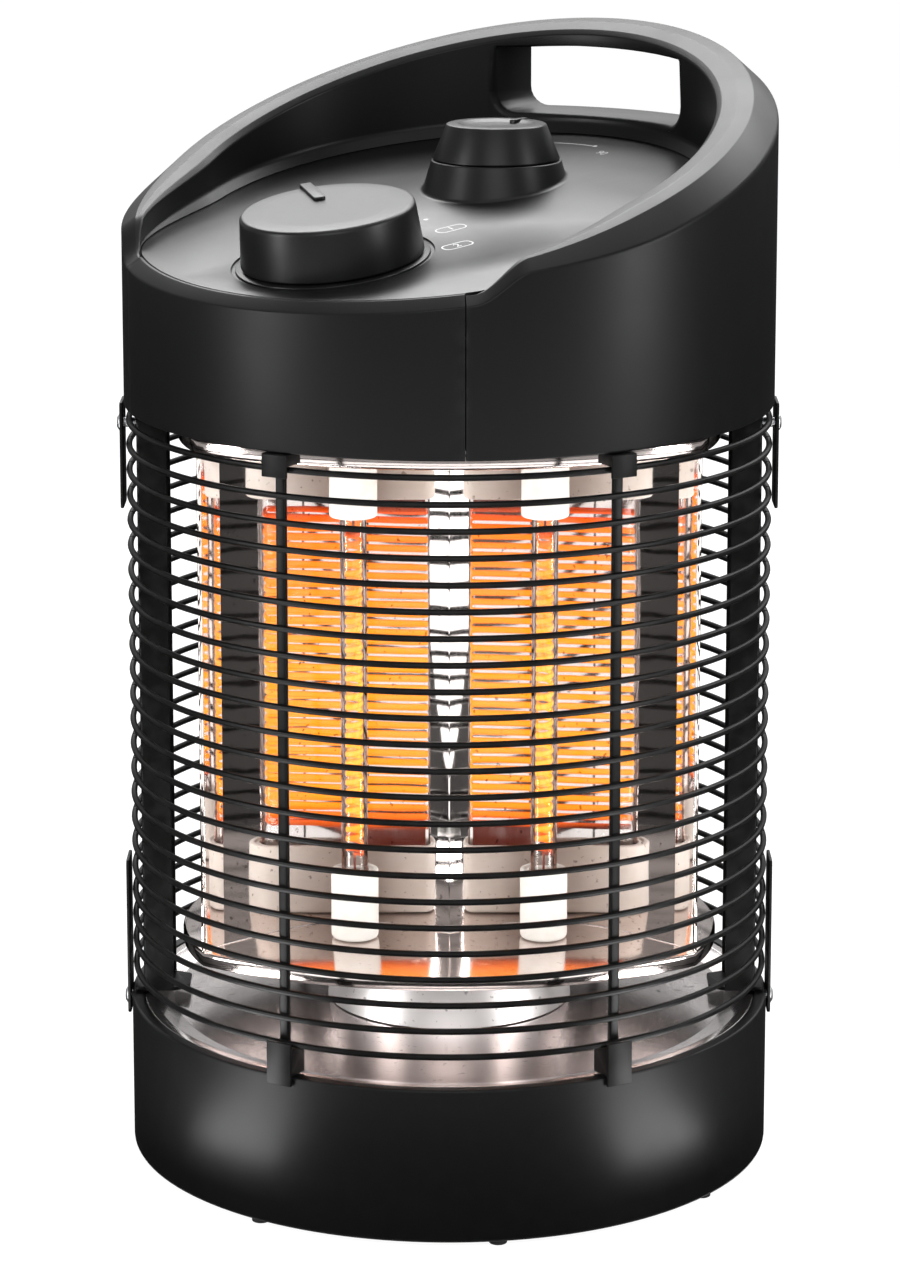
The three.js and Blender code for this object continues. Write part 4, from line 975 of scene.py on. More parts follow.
for side, word in sides:
    place = Matrix.Rotation(lamp_turn, 4, "Z") @ Vector((side * tube_x, -tube_forward, 0))
    tube = spun("tube", [
        (quartz_radius - quartz_wall, tube_bottom, crisp),
        (quartz_radius, tube_bottom, crisp),
        (quartz_radius, tube_top, crisp),
        (quartz_radius - quartz_wall, tube_top, crisp),
    ], around_few)
    set_place(tube, move=place)
    finished(tube, f"quartz_{word}", "lamp_unit", quartz, [f"quartz_tube_{word}"])
    coil = make_coil("coil")
    set_place(coil, move=place)
    finished(coil, f"coil_{word}", "lamp_unit", glowing_wire, [f"heating_coil_{word}"])
    for level, mouth_up in (("lower", True), ("upper", False)):
        low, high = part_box(f"ceramic_cap_{level}_{word}")
        cap = make_cap("cap", low.z, high.z - low.z, mouth_up)
        set_place(cap, move=place)
        finished(cap, f"end_cap_{level}_{word}", "lamp_unit", ceramic,
                 [f"ceramic_cap_{level}_{word}"])

# %% [markdown]
# ## Guard
# The guard is welded from round wire: 23 rings in two halves, each half with two flat bars inside the rings.
# A ring is a torus, cut in half by a plane, and an array stacks it.

# %% Guard halves
guard_low, guard_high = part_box("guard_front")
ring_count, ring_wire = 23, 2.3 * mm
guard_inset = 1.8 * mm
guard_radius = radius - guard_inset
first_ring = guard_high.z - ring_wire / 2
last_ring = guard_low.z + ring_wire / 2
ring_pitch = (first_ring - last_ring) / (ring_count - 1)
guard_split = 1.2 * mm
bar_bearing, bar_width, bar_depth, bar_inset = 30, 3.6 * mm, 2.3 * mm, 1.65 * mm
ring_sides = 10


def make_guard_half(middle):
    """Half of every ring, stacked, with the two bars inside them, about the bearing of its middle."""
    bpy.ops.mesh.primitive_torus_add(
        major_segments=around_many, minor_segments=ring_sides, major_radius=guard_radius,
        minor_radius=ring_wire / 2,
    )
    guard = bpy.context.object
    set_place(guard, move=(0, 0, last_ring))
    edit(guard)
    bpy.ops.mesh.bisect(
        plane_co=(0, -guard_split / 2, 0), plane_no=(0, 1, 0), use_fill=True, clear_outer=True
    )
    tidy(guard)
    modify(guard, "ARRAY", count=ring_count, use_relative_offset=False, use_constant_offset=True,
           constant_offset_displace=(0, 0, ring_pitch))
    for side in (-1, 1):
        bpy.ops.mesh.primitive_cube_add(size=1)
        bar = bpy.context.object
        bar.scale = (bar_width, bar_depth, first_ring - last_ring + ring_wire)
        set_place(bar, move=(0, -(guard_radius - bar_inset), (first_ring + last_ring) / 2))
        modify(bar, "BEVEL", width=gentle, segments=3, limit_method="ANGLE")
        set_place(bar, turn=(0, 0, math.radians(side * bar_bearing)))
        join(guard, bar)
    set_place(guard, turn=(0, 0, lamp_turn + math.radians(middle)))
    return guard


for node, name, middle in (("guard_front", "wire_guard_front", 0), ("guard_rear", "wire_guard_rear", 180)):
    finished(make_guard_half(middle), name, "base", black_paint, [node])

# %% [markdown]
# ## Posts, brackets, clips and screws
# Two channel posts carry the head. Sheet brackets close over the ends of the rings on them, held by one screw
# each, and a clip hooks each bar to the head or the base. All of them are bent sheet, so their corners are
# eased: on black paint that thin lit edge is all that tells one piece from the next.

# %% Posts
post_low, post_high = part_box("side_post_right")
post_inset, post_depth, post_width, post_sheet = 2.9 * mm, 11.2 * mm, 20 * mm, 1.4 * mm
post_outer = guard_radius - post_inset
post_inner = post_outer - post_depth
toe_reach, toe_lap, toe_taper, tip_easing, toe_easing = 6 * mm, 3.2 * mm, 3 * mm, 2 * mm, 1 * mm
bend_easing = 1.2 * mm
half_post = post_width / 2


def make_post(side):
    """A channel that opens inwards, on a flat toe."""
    post = lifted("post", [
        (post_inner, -half_post, crisp), (post_outer, -half_post, bend_easing),
        (post_outer, half_post, bend_easing), (post_inner, half_post, crisp),
        (post_inner, half_post - post_sheet, crisp),
        (post_outer - post_sheet, half_post - post_sheet, slight),
        (post_outer - post_sheet, post_sheet - half_post, slight),
        (post_inner, post_sheet - half_post, crisp),
    ], post_low.z, post_high.z)
    toe = lifted("toe", [
        (post_inner - toe_reach, -half_post + toe_taper, tip_easing), (post_inner, -half_post, toe_easing),
        (post_outer + toe_lap, -half_post, toe_easing), (post_outer + toe_lap, half_post, toe_easing),
        (post_inner, half_post, toe_easing), (post_inner - toe_reach, half_post - toe_taper, tip_easing),
    ], post_low.z, post_low.z + post_sheet)
    fuse(post, toe)
    modify(post, "BEVEL", width=sheet_bend, segments=2, limit_method="ANGLE", angle_limit=math.radians(50))
    set_place(post, turn=(0, 0, lamp_turn + (0 if side > 0 else math.pi)))
    return post


for side, word in sides:
    finished(make_post(side), f"channel_post_{word}", "base", black_paint,
             [f"side_post_{word}"])

# %% Brackets and screws
bracket_width, bracket_sheet, bracket_corner = 16 * mm, 1.2 * mm, 2 * mm
bracket_inner = radius + gap
screw_head, screw_head_height, screw_length, around_screw = 3.1 * mm, 1.4 * mm, 8.5 * mm, 32
screw_rim, dome_radius = 0.6 * mm, 1.9 * mm
recess = (3.4 * mm, 0.7 * mm, 1.5 * mm)
upper_screw_drop = 9 * mm
half_bracket = bracket_width / 2


def sideways(piece, side):
    """From flat on the floor plan, facing up, to upright on a side of the cage, facing outwards."""
    set_place(piece, turn=(math.pi / 2, 0, math.pi / 2))
    set_place(piece, turn=(0, 0, lamp_turn + (0 if side > 0 else math.pi)))


def make_bracket(side, low, high, screw_height):
    """A strip with eased corners, bored for its screw."""
    plate = lifted("bracket", [
        (-half_bracket, low, bracket_corner), (half_bracket, low, bracket_corner),
        (half_bracket, high, bracket_corner), (-half_bracket, high, bracket_corner),
    ], bracket_inner, bracket_inner + bracket_sheet)
    cut(plate, lifted("bore", circle(screw_radius + gap, around_spot, screw_height),
                      bracket_inner - overrun, bracket_inner + 2 * overrun))
    modify(plate, "BEVEL", width=crisp, segments=2, limit_method="ANGLE", angle_limit=math.radians(50))
    sideways(plate, side)
    return plate


def make_screw(side, height):
    """A pan-head screw with a cross recess."""
    face = bracket_inner + bracket_sheet
    screw = spun("screw", [
        (0, face - screw_length), (screw_radius, face - screw_length), (screw_radius, face),
        (screw_head, face, tight), (screw_head, face + screw_rim, gentle),
        (dome_radius, face + screw_head_height, easy), (0, face + screw_head_height),
    ], around_screw, closed=False)
    for turn in (0, math.pi / 2):
        bpy.ops.mesh.primitive_cube_add(
            size=1, location=(0, 0, face + screw_head_height), rotation=(0, 0, turn)
        )
        slot = bpy.context.object
        slot.scale = recess
        cut(screw, slot)
    set_place(screw, move=(0, height, 0))
    sideways(screw, side)
    return screw


for side, word in sides:
    for level, screw_height in (("upper", head_bottom - upper_screw_drop), ("lower", base_top - screw_drop)):
        low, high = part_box(f"guard_bracket_{level}_{word}")
        finished(make_bracket(side, low.z, high.z, screw_height), f"ring_bracket_{level}_{word}", "base",
                 black_paint, [f"guard_bracket_{level}_{word}"])
        finished(make_screw(side, screw_height), f"pan_screw_{level}_{word}", "base",
                 plain_steel, [f"bracket_screw_{level}_{word}"])

# %% Clips
clip_width, clip_sheet, clip_reach = 10 * mm, 1.2 * mm, 8.5 * mm


def make_clip(node, bearing, upper):
    """A bent strip: a plate in front of a bar's end, and a hook that reaches in over or under the rings."""
    low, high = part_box(node)
    inner, outer, hook = bracket_inner, bracket_inner + clip_sheet, bracket_inner - clip_reach
    if upper:
        section = [(inner, low.z, crisp), (outer, low.z, crisp), (outer, high.z, easy),
                   (hook, high.z, crisp), (hook, first_ring + ring_wire / 2 + gap, crisp),
                   (inner, first_ring + ring_wire / 2 + gap, crisp)]
    else:
        under = last_ring - ring_wire / 2 - gap
        section = [(inner, low.z, crisp), (outer, low.z, crisp), (outer, high.z, slight),
                   (inner, high.z, slight), (inner, under, crisp), (hook, under, crisp),
                   (hook, base_top + gap, crisp), (inner, base_top + gap, crisp)]
    clip = lifted("clip", section, -clip_width / 2, clip_width / 2)
    modify(clip, "BEVEL", width=sheet_bend, segments=2, limit_method="ANGLE", angle_limit=math.radians(60))
    set_place(clip, turn=(math.pi / 2, 0, 0))
    set_place(clip, turn=(0, 0, lamp_turn + math.radians(bearing - 90)))
    return clip


for number, bearing in enumerate((-bar_bearing, bar_bearing, 180 - bar_bearing, 180 + bar_bearing), 1):
    for level in ("upper", "lower"):
        node = f"guard_clip_{level}_{number}"
        finished(make_clip(node, bearing, level == "upper"), f"bar_clip_{level}_{number}", "base",
                 black_paint, [node])

# %% Cord gland
gland_flange, gland_length, gland_bore, gland_lip = 8.5 * mm, 8 * mm, 3.5 * mm, 0.9 * mm
gland = spun("gland", [
    (gland_bore, -gland_length, crisp), (gland_radius, -gland_length, crisp), (gland_radius, gap),
    (gland_flange, gap, tight), (gland_flange, gap + gland_lip, gentle),
    (gland_bore, gap + gland_lip, slight),
], around_few)
set_place(gland, turn=(-math.pi / 2, 0, 0), move=(0, radius, gland_height))
finished(gland, "cord_grommet", "base", rubber, ["cord_gland"])

# %% [markdown]
# ## Head
# The head's casing is two moulded shells: a low cover in front, and a rear shell whose collar rises to the
# back and thickens into the carrying handle. Its section is the same everywhere in kind and different in
# size, so it is swept about the axis from a section that depends on the bearing. The handle's opening is cut
# afterwards, and the cut's rims are rounded.

# %% Curves that shape the head
seam_bearing, seam_gap = 39, 0.4 * mm
seam_turn = math.degrees(seam_gap / 2 / radius)
shoulder_start, shoulder_turn, collar_turn = 1.4, 9.6, 39
panel_rise, panel_tilt = 72.4 * mm, math.radians(9.65)
panel_slope = math.tan(panel_tilt)
panel_sheet = 2.5 * mm
panel_z = head_bottom + panel_rise
crest_rise, crest_swing, crest_lift = 93.3 * mm, 37.3 * mm, 1.3 * mm
crest_slope = 0.31
collar_thin, collar_thick = 5.5 * mm, 22.8 * mm
bevel_thin, bevel_thick = 4.5 * mm, 9.2 * mm
flank_thin, flank_thick = 3 * mm, 8 * mm
roll_thin, roll_thick = 0.4 * mm, 2 * mm
crown = 0.8 * mm
lip_width, lip_thickness = 3.8 * mm, 1.7 * mm
collar_wall = 1.8 * mm
collar_below = 1.5 * mm
foot_reach, foot_rise = 3.5 * mm, 3.5 * mm


def mix(first, second, share):
    """A value between two."""
    return first + (second - first) * share


def past_seam(bearing, start, end):
    """How far a bearing has gone past the seam, eased from 0 to 1 between two turns in degrees."""
    from_front = abs((bearing + 180) % 360 - 180)
    share = (from_front - seam_bearing - start) / (end - start)
    share = min(max(share, 0), 1)
    return share * share * (3 - 2 * share)


def panel_height(at_radius, bearing):
    """The height of the sloping panel's face."""
    return panel_z - at_radius * math.cos(math.radians(bearing)) * panel_slope


def collar_radius(bearing):
    """The collar's inner radius: thin at the seams, and thick where it becomes the handle."""
    return radius - mix(collar_thin, collar_thick, past_seam(bearing, 0, collar_turn))


def crest_height(bearing):
    """The height of the collar's crest: on the panel's line at the seam, and highest at the back."""
    from_back = math.radians(bearing - 180)
    crest = head_bottom + crest_rise + crest_swing * math.cos(from_back)
    crest += crest_lift * math.cos(2 * from_back)
    share = past_seam(bearing, shoulder_start, shoulder_start + shoulder_turn)
    return mix(panel_height(radius, bearing), crest, share)


# %% Rear shell
handle_turn = 31
block_rise = 90.5 * mm
block_bottom = head_bottom + block_rise
sliver = 0.02 * mm
bottom_round, flank_round, edge_round, crown_round = (0.6, 1.2), (1.2, 2.6), (0.5, 1), (0.5, 4)
shoulder_round, roll_round, foot_round = (0.3, 1.2), (0.3, 1.6), (0.01, 3.4)


def shell_section(bearing):
    """The rear shell's section: outer wall, crest, collar, its foot on the panel, and the hollow. A rounding
    has one radius in millimetres for the thin ends of the collar, and one for its thick middle."""
    share = past_seam(bearing, 0, collar_turn)
    inner = collar_radius(bearing)
    edge = radius - mix(bevel_thin, bevel_thick, share)
    roll = mix(roll_thin, roll_thick, share)
    top = crest_height(bearing)
    shoulder = inner + roll
    fall = (edge - shoulder) * -math.cos(math.radians(bearing)) * crest_slope
    flank = mix(flank_thin, flank_thick, share)
    low = panel_height(inner, bearing)
    foot = low - panel_sheet - collar_below
    ceiling = top - fall - roll - collar_wall
    if abs(bearing - 180) < handle_turn:
        ceiling = block_bottom
    tip = inner - foot_reach * share - sliver
    rise = gap + sliver
    return [
        (radius - lip_width, head_bottom, crisp),
        (radius, head_bottom, mix(*bottom_round, share) * mm),
        (radius, top - flank, mix(*flank_round, share) * mm),
        (edge, top, mix(*edge_round, share) * mm),
        ((edge + shoulder) / 2, top - fall / 2 + crown * share, mix(*crown_round, share) * mm),
        (shoulder, top - fall, mix(*shoulder_round, share) * mm),
        (inner, top - fall - roll, mix(*roll_round, share) * mm),
        (inner, low + rise + foot_rise * share, mix(*foot_round, share) * mm),
        (tip, panel_height(tip, bearing) + rise, sliver / 2),
        (inner, low + gap, sliver / 2),
        (inner, foot, crisp),
        (inner + collar_wall, foot, crisp),
        (inner + collar_wall, ceiling, slight),
        (wall_inner, min(top - flank, ceiling) - collar_wall, slight),
        (wall_inner, head_bottom + lip_thickness, crisp),
        (radius - lip_width, head_bottom + lip_thickness, crisp),
    ]


shell_edge = seam_bearing + seam_turn
rising, thickening, backs = 24, 22, 104
risen, thick = 51, 78
shell_bearings = (
    stretch(shell_edge, risen, rising)[:-1] + stretch(risen, thick, thickening)[:-1]
    + stretch(thick, 360 - thick, backs)
    + stretch(360 - thick, 360 - risen, thickening)[1:] + stretch(360 - risen, 360 - shell_edge, rising)[1:]
)
shell = swept("shell", shell_section, shell_bearings)

# %% Handle opening
handle_rise = 106.9 * mm
handle_half, handle_up, handle_arch, handle_corner = 42 * mm, 10.8 * mm, 4 * mm, 7 * mm
flare_x, flare_z, flare_rise = 0.01, 0.13, 0.5 * mm
arch_steps, arc_steps = 12, 6


def handle_outline():
    """The opening's outline about its middle: an arched upper edge and two round lower corners."""
    line = [(-handle_half, handle_up)]
    corner = [
        (handle_half - handle_corner * (1 - math.cos(a)), handle_corner * (1 - math.sin(a)) - handle_up)
        for a in stretch(math.pi / 2, 0, arc_steps)
    ]
    line += [(-x, z) for x, z in reversed(corner)]
    line += corner
    for t in stretch(0, 1, arch_steps)[:-1]:
        line.append((handle_half * (1 - 2 * t), handle_up + 2 * handle_arch * t * (1 - t)))
    return line


def opening_body():
    """The outline, drawn behind the casing, and pushed forward through the collar while it widens."""
    start, end = radius + overrun, radius - 2 * collar_thick
    near, far = -overrun / collar_thick, 2
    middle = head_bottom + handle_rise
    body = drawn("opening", handle_outline())
    edit(body)
    bpy.ops.mesh.edge_face_add()
    bpy.ops.transform.resize(value=(1 + flare_x * near, 1, 1 + flare_z * near), center_override=(0, 0, 0))
    bpy.ops.transform.translate(value=(0, start, middle + flare_rise * near))
    bpy.ops.mesh.extrude_region_move(
        TRANSFORM_OT_translate={"value": (0, end - start, flare_rise * (far - near))}
    )
    bpy.ops.transform.resize(
        value=((1 + flare_x * far) / (1 + flare_x * near), 1, (1 + flare_z * far) / (1 + flare_z * near)),
        center_override=(0, end, middle + flare_rise * far),
    )
    tidy(body)
    return body


def cut_and_mark(piece, cutter, fusing=False):
    """Cuts or joins a body, and leaves its faces with the second material, so that they can be found."""
    for thing, name in ((piece, "own"), (cutter, "added")):
        thing.data.materials.clear()
        thing.data.materials.append(bpy.data.materials.get(name) or bpy.data.materials.new(name))
    modify(piece, "BOOLEAN", object=cutter, operation="UNION" if fusing else "DIFFERENCE", solver="EXACT",
           material_mode="TRANSFER")
    bpy.data.objects.remove(cutter)


def soften_rims(piece, width, segments, test=lambda middle: True):
    """Bevels the edges where a piece's own faces meet the marked ones."""
    kinds = {}
    for polygon in piece.data.polygons:
        for key in polygon.edge_keys:
            kinds.setdefault(key, set()).add(polygon.material_index)
    points = piece.data.vertices

    def on_rim(edge):
        a, b = (points[i].co for i in edge.vertices)
        return len(kinds.get(tuple(sorted(edge.vertices)), ())) == 2 and test((a + b) / 2)

    pick(piece, "EDGE", on_rim)
    bpy.ops.mesh.bevel(offset=width, segments=segments, affect="EDGES", clamp_overlap=False)
    rest()


inner_rim, outer_rim, upper_rim = 2.4 * mm, 1 * mm, 0.5 * mm
rim_between = radius - collar_thick / 2
upper_share = 0.8
upper_edge = head_bottom + handle_rise + upper_share * handle_up
cut_and_mark(shell, opening_body())
soften_rims(shell, inner_rim, 5, lambda middle: middle.xy.length < rim_between and middle.z < upper_edge)
soften_rims(shell, upper_rim, 2, lambda middle: middle.xy.length < rim_between and middle.z > upper_edge)
soften_rims(shell, outer_rim, 3, lambda middle: middle.xy.length > rim_between)
modify(shell, "BEVEL", width=sheet_bend, segments=2, limit_method="ANGLE", angle_limit=math.radians(65))
tidy(shell)
finished(shell, "collar_shell", "base", black_plastic, ["rear_shell"], smooth=30)

# %% Front cover
cover_bevel, cover_flank, cover_lip, cover_lip_depth = 4.5 * mm, 3 * mm, 5.5 * mm, 2.5 * mm
flank_bend = 1.2 * mm


def cover_section(bearing):
    """The front cover's section on a bearing: a low wall with a lip that the panel's edge meets."""
    edge, inner = radius - cover_bevel, radius - cover_lip
    inner_top = panel_height(inner, bearing)
    return [
        (radius - lip_width, head_bottom, crisp),
        (radius, head_bottom, mild),
        (radius, panel_height(radius, bearing) - cover_flank, flank_bend),
        (edge, panel_height(edge, bearing), gentle),
        (inner, inner_top, tight),
        (inner, inner_top - cover_lip_depth, crisp),
        (wall_inner, inner_top - cover_lip_depth - cover_lip, slight),
        (wall_inner, head_bottom + lip_thickness, crisp),
        (radius - lip_width, head_bottom + lip_thickness, crisp),
    ]


cover_edge, cover_steps = seam_bearing - seam_turn, 40
cover = swept("cover", cover_section, stretch(-cover_edge, cover_edge, cover_steps))
modify(cover, "BEVEL", width=sheet_bend, segments=2, limit_method="ANGLE", angle_limit=math.radians(65))
tidy(cover)
finished(cover, "cover_shell", "base", black_plastic, ["front_cover"], smooth=30)

# %% [markdown]
# ## Control panel and knobs
# The panel is one moulding: a sloping plate with a ring groove under the large knob, and a conical boss that
# carries the small knob upright. Small fillets run where the boss meets the plate, because no mould makes a
# sharp corner, and that thin lit line shows in the photograph.

# %% Panel
knob_inset, knob_offset = 50.4 * mm, 29.5 * mm
knob_forward = radius - knob_inset
panel_place = {"move": (0, -knob_forward, panel_z - knob_forward * panel_slope), "turn": (panel_tilt, 0, 0)}
groove_radius, groove_width, groove_depth = 35.5 * mm, 1.6 * mm, 1 * mm
boss_height, boss_top_radius, boss_foot_radius = 8.3 * mm, 24.2 * mm, 26.6 * mm
boss_top = panel_z + knob_offset * panel_slope + boss_height
panel_easing, boss_fillet, boss_margin = 0.45 * mm, 1.3 * mm, 0.5 * mm
switch_hole, shaft_hole = 3.6 * mm, 4.6 * mm
panel_steps = 180
around_panel = stretch(0, 360, panel_steps)[:-1]
outline = [on_bearing(collar_radius(b) - gap, b, 0) for b in around_panel]
panel = drawn("panel", [(place.x, place.y) for place in outline], upright=False)
edit(panel)
bpy.ops.mesh.edge_face_add()
bpy.ops.mesh.extrude_region_move(
    TRANSFORM_OT_translate={"value": (0, 0, -panel_sheet / math.cos(panel_tilt))}
)
tidy(panel)
for vertex in panel.data.vertices:
    vertex.co.z += panel_z + vertex.co.y * panel_slope
panel.data.update()
modify(panel, "BEVEL", width=panel_easing, segments=3, limit_method="ANGLE", angle_limit=math.radians(60))

boss_flare = (boss_foot_radius - boss_top_radius) / boss_height
boss_low = panel_z + (knob_offset - boss_foot_radius) * panel_slope - panel_sheet / 2
boss = spun("boss", [
    (shaft_hole, boss_low), (boss_top_radius + boss_flare * (boss_top - boss_low), boss_low),
    (boss_top_radius, boss_top, easy), (shaft_hole, boss_top),
], around_many)
set_place(boss, move=(0, knob_offset, 0))
cut_and_mark(panel, boss, fusing=True)
soften_rims(panel, boss_fillet, 4,
            lambda middle: middle.z > panel_z + middle.y * panel_slope - boss_margin
            and (middle.xy - Vector((0, knob_offset))).length > shaft_hole * 2)
bore = spun("bore", [(0, boss_low - overrun), (shaft_hole, boss_low - overrun),
                     (shaft_hole, boss_top + overrun), (0, boss_top + overrun)], around_few, closed=False)
set_place(bore, move=(0, knob_offset, 0))
cut(panel, bore)
groove = spun("groove", [
    (groove_radius - groove_width / 2, -groove_depth, crisp),
    (groove_radius + groove_width / 2, -groove_depth, crisp),
    (groove_radius + groove_width / 2, overrun), (groove_radius - groove_width / 2, overrun),
], around_many)
set_place(groove, **panel_place)
cut_and_mark(panel, groove)
soften_rims(panel, crisp, 2)
bore = spun("bore", [(0, -2 * overrun), (switch_hole, -2 * overrun), (switch_hole, overrun), (0, overrun)],
            around_few, closed=False)
set_place(bore, **panel_place)
cut(panel, bore)
tidy(panel)
finished(panel, "panel_moulding", "base", satin_plastic, ["control_panel"], smooth=30)

# %% [markdown]
# ## Marks on the panel
# Pale prints beside the knobs tell their settings: a dot for off and two framed numbers at the large knob,
# and at the small one an arc with a number. They are plain numbers in a plain font. A print is a film of ink,
# so each mark is a body a tenth of a millimetre thick that stands barely proud of the panel.

# %% Marks
ink_top, ink_depth = 0.03 * mm, 0.12 * mm
frame_length, frame_height, frame_stroke, number_size = 12 * mm, 6.4 * mm, 0.5 * mm, 5 * mm
mark_bearing = math.radians(66)
spot_radius, band_steps = 0.9 * mm, 16
dot_place = (3.8 * mm, 50.9 * mm, 0)
number_places = {"1": (19.9 * mm, 44.2 * mm, 0), "2": (34.9 * mm, 27.4 * mm, 0)}
small_axis = (knob_offset + knob_forward) / math.cos(panel_tilt)


def pill(length, height):
    """The outline of a bar with round ends."""
    x, y = length / 2, height / 2
    return [(-x, -y, y), (x, -y, y), (x, y, y), (-x, y, y)]


def numeral(words):
    """A plain number as a film of ink."""
    rest()
    bpy.ops.object.text_add()
    piece = bpy.context.object
    piece.data.body, piece.data.size, piece.data.extrude = words, number_size, ink_depth / 2
    piece.data.align_x = piece.data.align_y = "CENTER"
    bpy.ops.object.convert(target="MESH")
    set_place(bpy.context.object, move=(0, 0, ink_top - ink_depth / 2))
    return bpy.context.object


def framed(words):
    """A number in a frame with round ends."""
    ring = lifted("frame", pill(frame_length, frame_height), ink_top - ink_depth, ink_top)
    cut(ring, lifted("inside", pill(frame_length - 2 * frame_stroke, frame_height - 2 * frame_stroke),
                     ink_top - 2 * ink_depth, 2 * ink_top))
    join(ring, numeral(words))
    return ring


def spot():
    """A round dot of ink."""
    return lifted("spot", circle(spot_radius, around_spot), ink_top - ink_depth, ink_top)


def arc_mark(arc_radius, start, end):
    """A thin band between two bearings from the back, about the small knob."""
    outer = [(arc_radius * math.sin(a), arc_radius * math.cos(a)) for a in stretch(start, end, band_steps)]
    shrink = 1 - frame_stroke / arc_radius
    inner = [(x * shrink, y * shrink) for x, y in reversed(outer)]
    return lifted("arc", outer + inner, ink_top - ink_depth, ink_top)


marks = spot()
set_place(marks, move=dot_place)
for words, place in number_places.items():
    mark = framed(words)
    set_place(mark, move=place, turn=(0, 0, mark_bearing))
    join(marks, mark)
arc_radius, arc_start, arc_end = 53 * mm, math.radians(-13), math.radians(10)
number_radius, number_turn = 48 * mm, math.radians(21)
arc = arc_mark(arc_radius, arc_start, arc_end)
arc_dot = spot()
set_place(arc_dot, move=(arc_radius * math.sin(arc_end), arc_radius * math.cos(arc_end), 0))
number = numeral("90")
set_place(number, turn=(0, 0, -number_turn),
          move=(number_radius * math.sin(number_turn), number_radius * math.cos(number_turn), 0))
join(arc, arc_dot, number)
set_place(arc, move=(0, small_axis, 0))
join(marks, arc)
tidy(marks)
set_place(marks, **panel_place)
finished(marks, "panel_marks", "base", pale_print)

# %% Large knob
knob_lift, knob_height, knob_skirt, knob_top = 0.8 * mm, 18.5 * mm, 32.8 * mm, 31.2 * mm
knob_shell, knob_easing = 2 * mm, 2 * mm
switch_bore, knob_hub, knob_bore_depth = 3.3 * mm, 6.3 * mm, 10.3 * mm
knob_edge_drop, knob_crown, crown_share = 0.4 * mm, 6 * mm, 0.75
pointer_inner, pointer_outer, pointer_width, pointer_rise = 9 * mm, 31 * mm, 4.4 * mm, 1.2 * mm
pointer_round, pointer_sink, pointer_easing = 1.9 * mm, 0.8 * mm, 0.45 * mm
pointer_turn = math.radians(52)
knob_high = knob_lift + knob_height
knob = spun("knob", [
    (0, knob_lift + knob_bore_depth),
    (switch_bore, knob_lift + knob_bore_depth),
    (switch_bore, knob_lift, crisp),
    (knob_hub, knob_lift, crisp),
    (knob_hub, knob_high - 2 * knob_shell, easy),
    (knob_top - knob_shell, knob_high - 2 * knob_shell, easy),
    (knob_skirt - knob_shell, knob_lift, slight),
    (knob_skirt, knob_lift, gentle),
    (knob_top, knob_high - knob_edge_drop, knob_easing),
    (knob_top * crown_share, knob_high, knob_crown),
    (0, knob_high),
], around_many, closed=False)
half_pointer = pointer_width / 2
pointer = lifted("pointer", [
    (-half_pointer, pointer_outer), (-half_pointer, pointer_inner, pointer_round),
    (half_pointer, pointer_inner, pointer_round), (half_pointer, pointer_outer),
], knob_high - pointer_sink, knob_high + pointer_rise)
modify(pointer, "BEVEL", width=pointer_easing, segments=3, limit_method="ANGLE", angle_limit=math.radians(60))
set_place(pointer, turn=(0, 0, pointer_turn))
fuse(knob, pointer)
set_place(knob, **panel_place)
finished(knob, "heat_knob", "power_knob", satin_plastic, ["power_knob"], smooth=30)

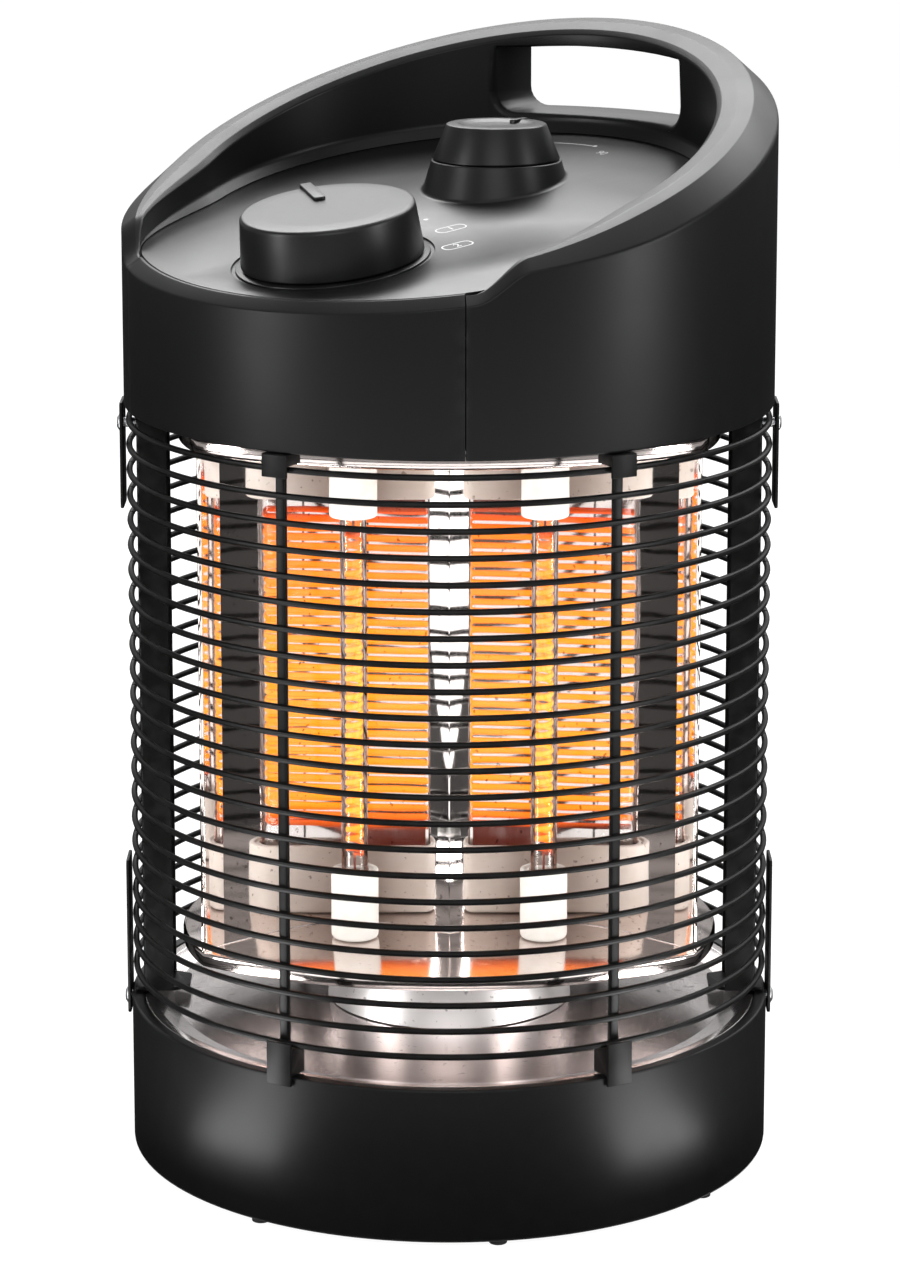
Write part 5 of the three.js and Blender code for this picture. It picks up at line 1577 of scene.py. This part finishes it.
# %% Small knob
small_foot, small_top, small_height, small_easing = 23.8 * mm, 18.5 * mm, 13.3 * mm, 1.1 * mm
small_shell, dish_edge, dish_sink = 2 * mm, 14.2 * mm, 1.5 * mm
shaft_bore, small_hub = 4.3 * mm, 7.3 * mm
rim_drop, dish_step, dish_step_share, dish_bend, dish_swell = 0.1 * mm, 2.5 * mm, 0.6, 3 * mm, 4 * mm
ridge_width, ridge_inner, ridge_rise = 2.4 * mm, 10 * mm, 0.35 * mm
ridge_start, ridge_end, ridge_easing = 1.2 * mm, 1 * mm, 0.35 * mm
ridge_sink, ridge_foot, ridge_lap, ridge_back = 0.5 * mm, 2 * mm, 0.5 * mm, 1.5 * mm
small_low = boss_top + gap
small_high = small_low + small_height
small_bore = small_height / 2 + gap
dial = spun("dial", [
    (0, small_low + small_bore),
    (shaft_bore, small_low + small_bore),
    (shaft_bore, small_low, crisp),
    (small_hub, small_low, crisp),
    (small_hub, small_high - dish_sink - 1.5 * small_shell, mild),
    (small_top - small_shell, small_high - dish_sink - 1.5 * small_shell, mild),
    (small_foot - small_shell, small_low, slight),
    (small_foot, small_low, gentle),
    (small_top, small_high - rim_drop, small_easing),
    (dish_edge, small_high, easy),
    (dish_edge - dish_step, small_high - dish_step_share * dish_sink, dish_bend),
    (dish_edge / 2, small_high - dish_sink, dish_swell),
    (0, small_high - dish_sink),
], around_many, closed=False)
half_ridge = ridge_width / 2
ridge_out = (small_foot - small_top) / small_height * ridge_rise
ridge = drawn("ridge", rounded([
    (ridge_inner, small_high - dish_sink - ridge_sink), (ridge_inner, small_high + ridge_rise, ridge_start),
    (small_top + ridge_out, small_high + ridge_rise, ridge_end),
    (small_foot - ridge_lap, small_low + ridge_foot, slight),
    (small_foot - ridge_foot, small_low + ridge_foot),
    (small_top - ridge_back, small_high - dish_sink - ridge_sink),
]))
edit(ridge)
bpy.ops.mesh.edge_face_add()
bpy.ops.transform.translate(value=(0, -half_ridge, 0))
bpy.ops.mesh.extrude_region_move(TRANSFORM_OT_translate={"value": (0, ridge_width, 0)})
tidy(ridge)
modify(ridge, "BEVEL", width=ridge_easing, segments=3, limit_method="ANGLE", angle_limit=math.radians(60))
set_place(ridge, turn=(0, 0, math.pi / 2))
fuse(dial, ridge)
set_place(dial, move=(0, knob_offset, 0))
finished(dial, "turn_knob", "direction_knob", satin_plastic, ["direction_knob"], smooth=30)

# %% Finish
print("pieces made:", len(pieces_made))
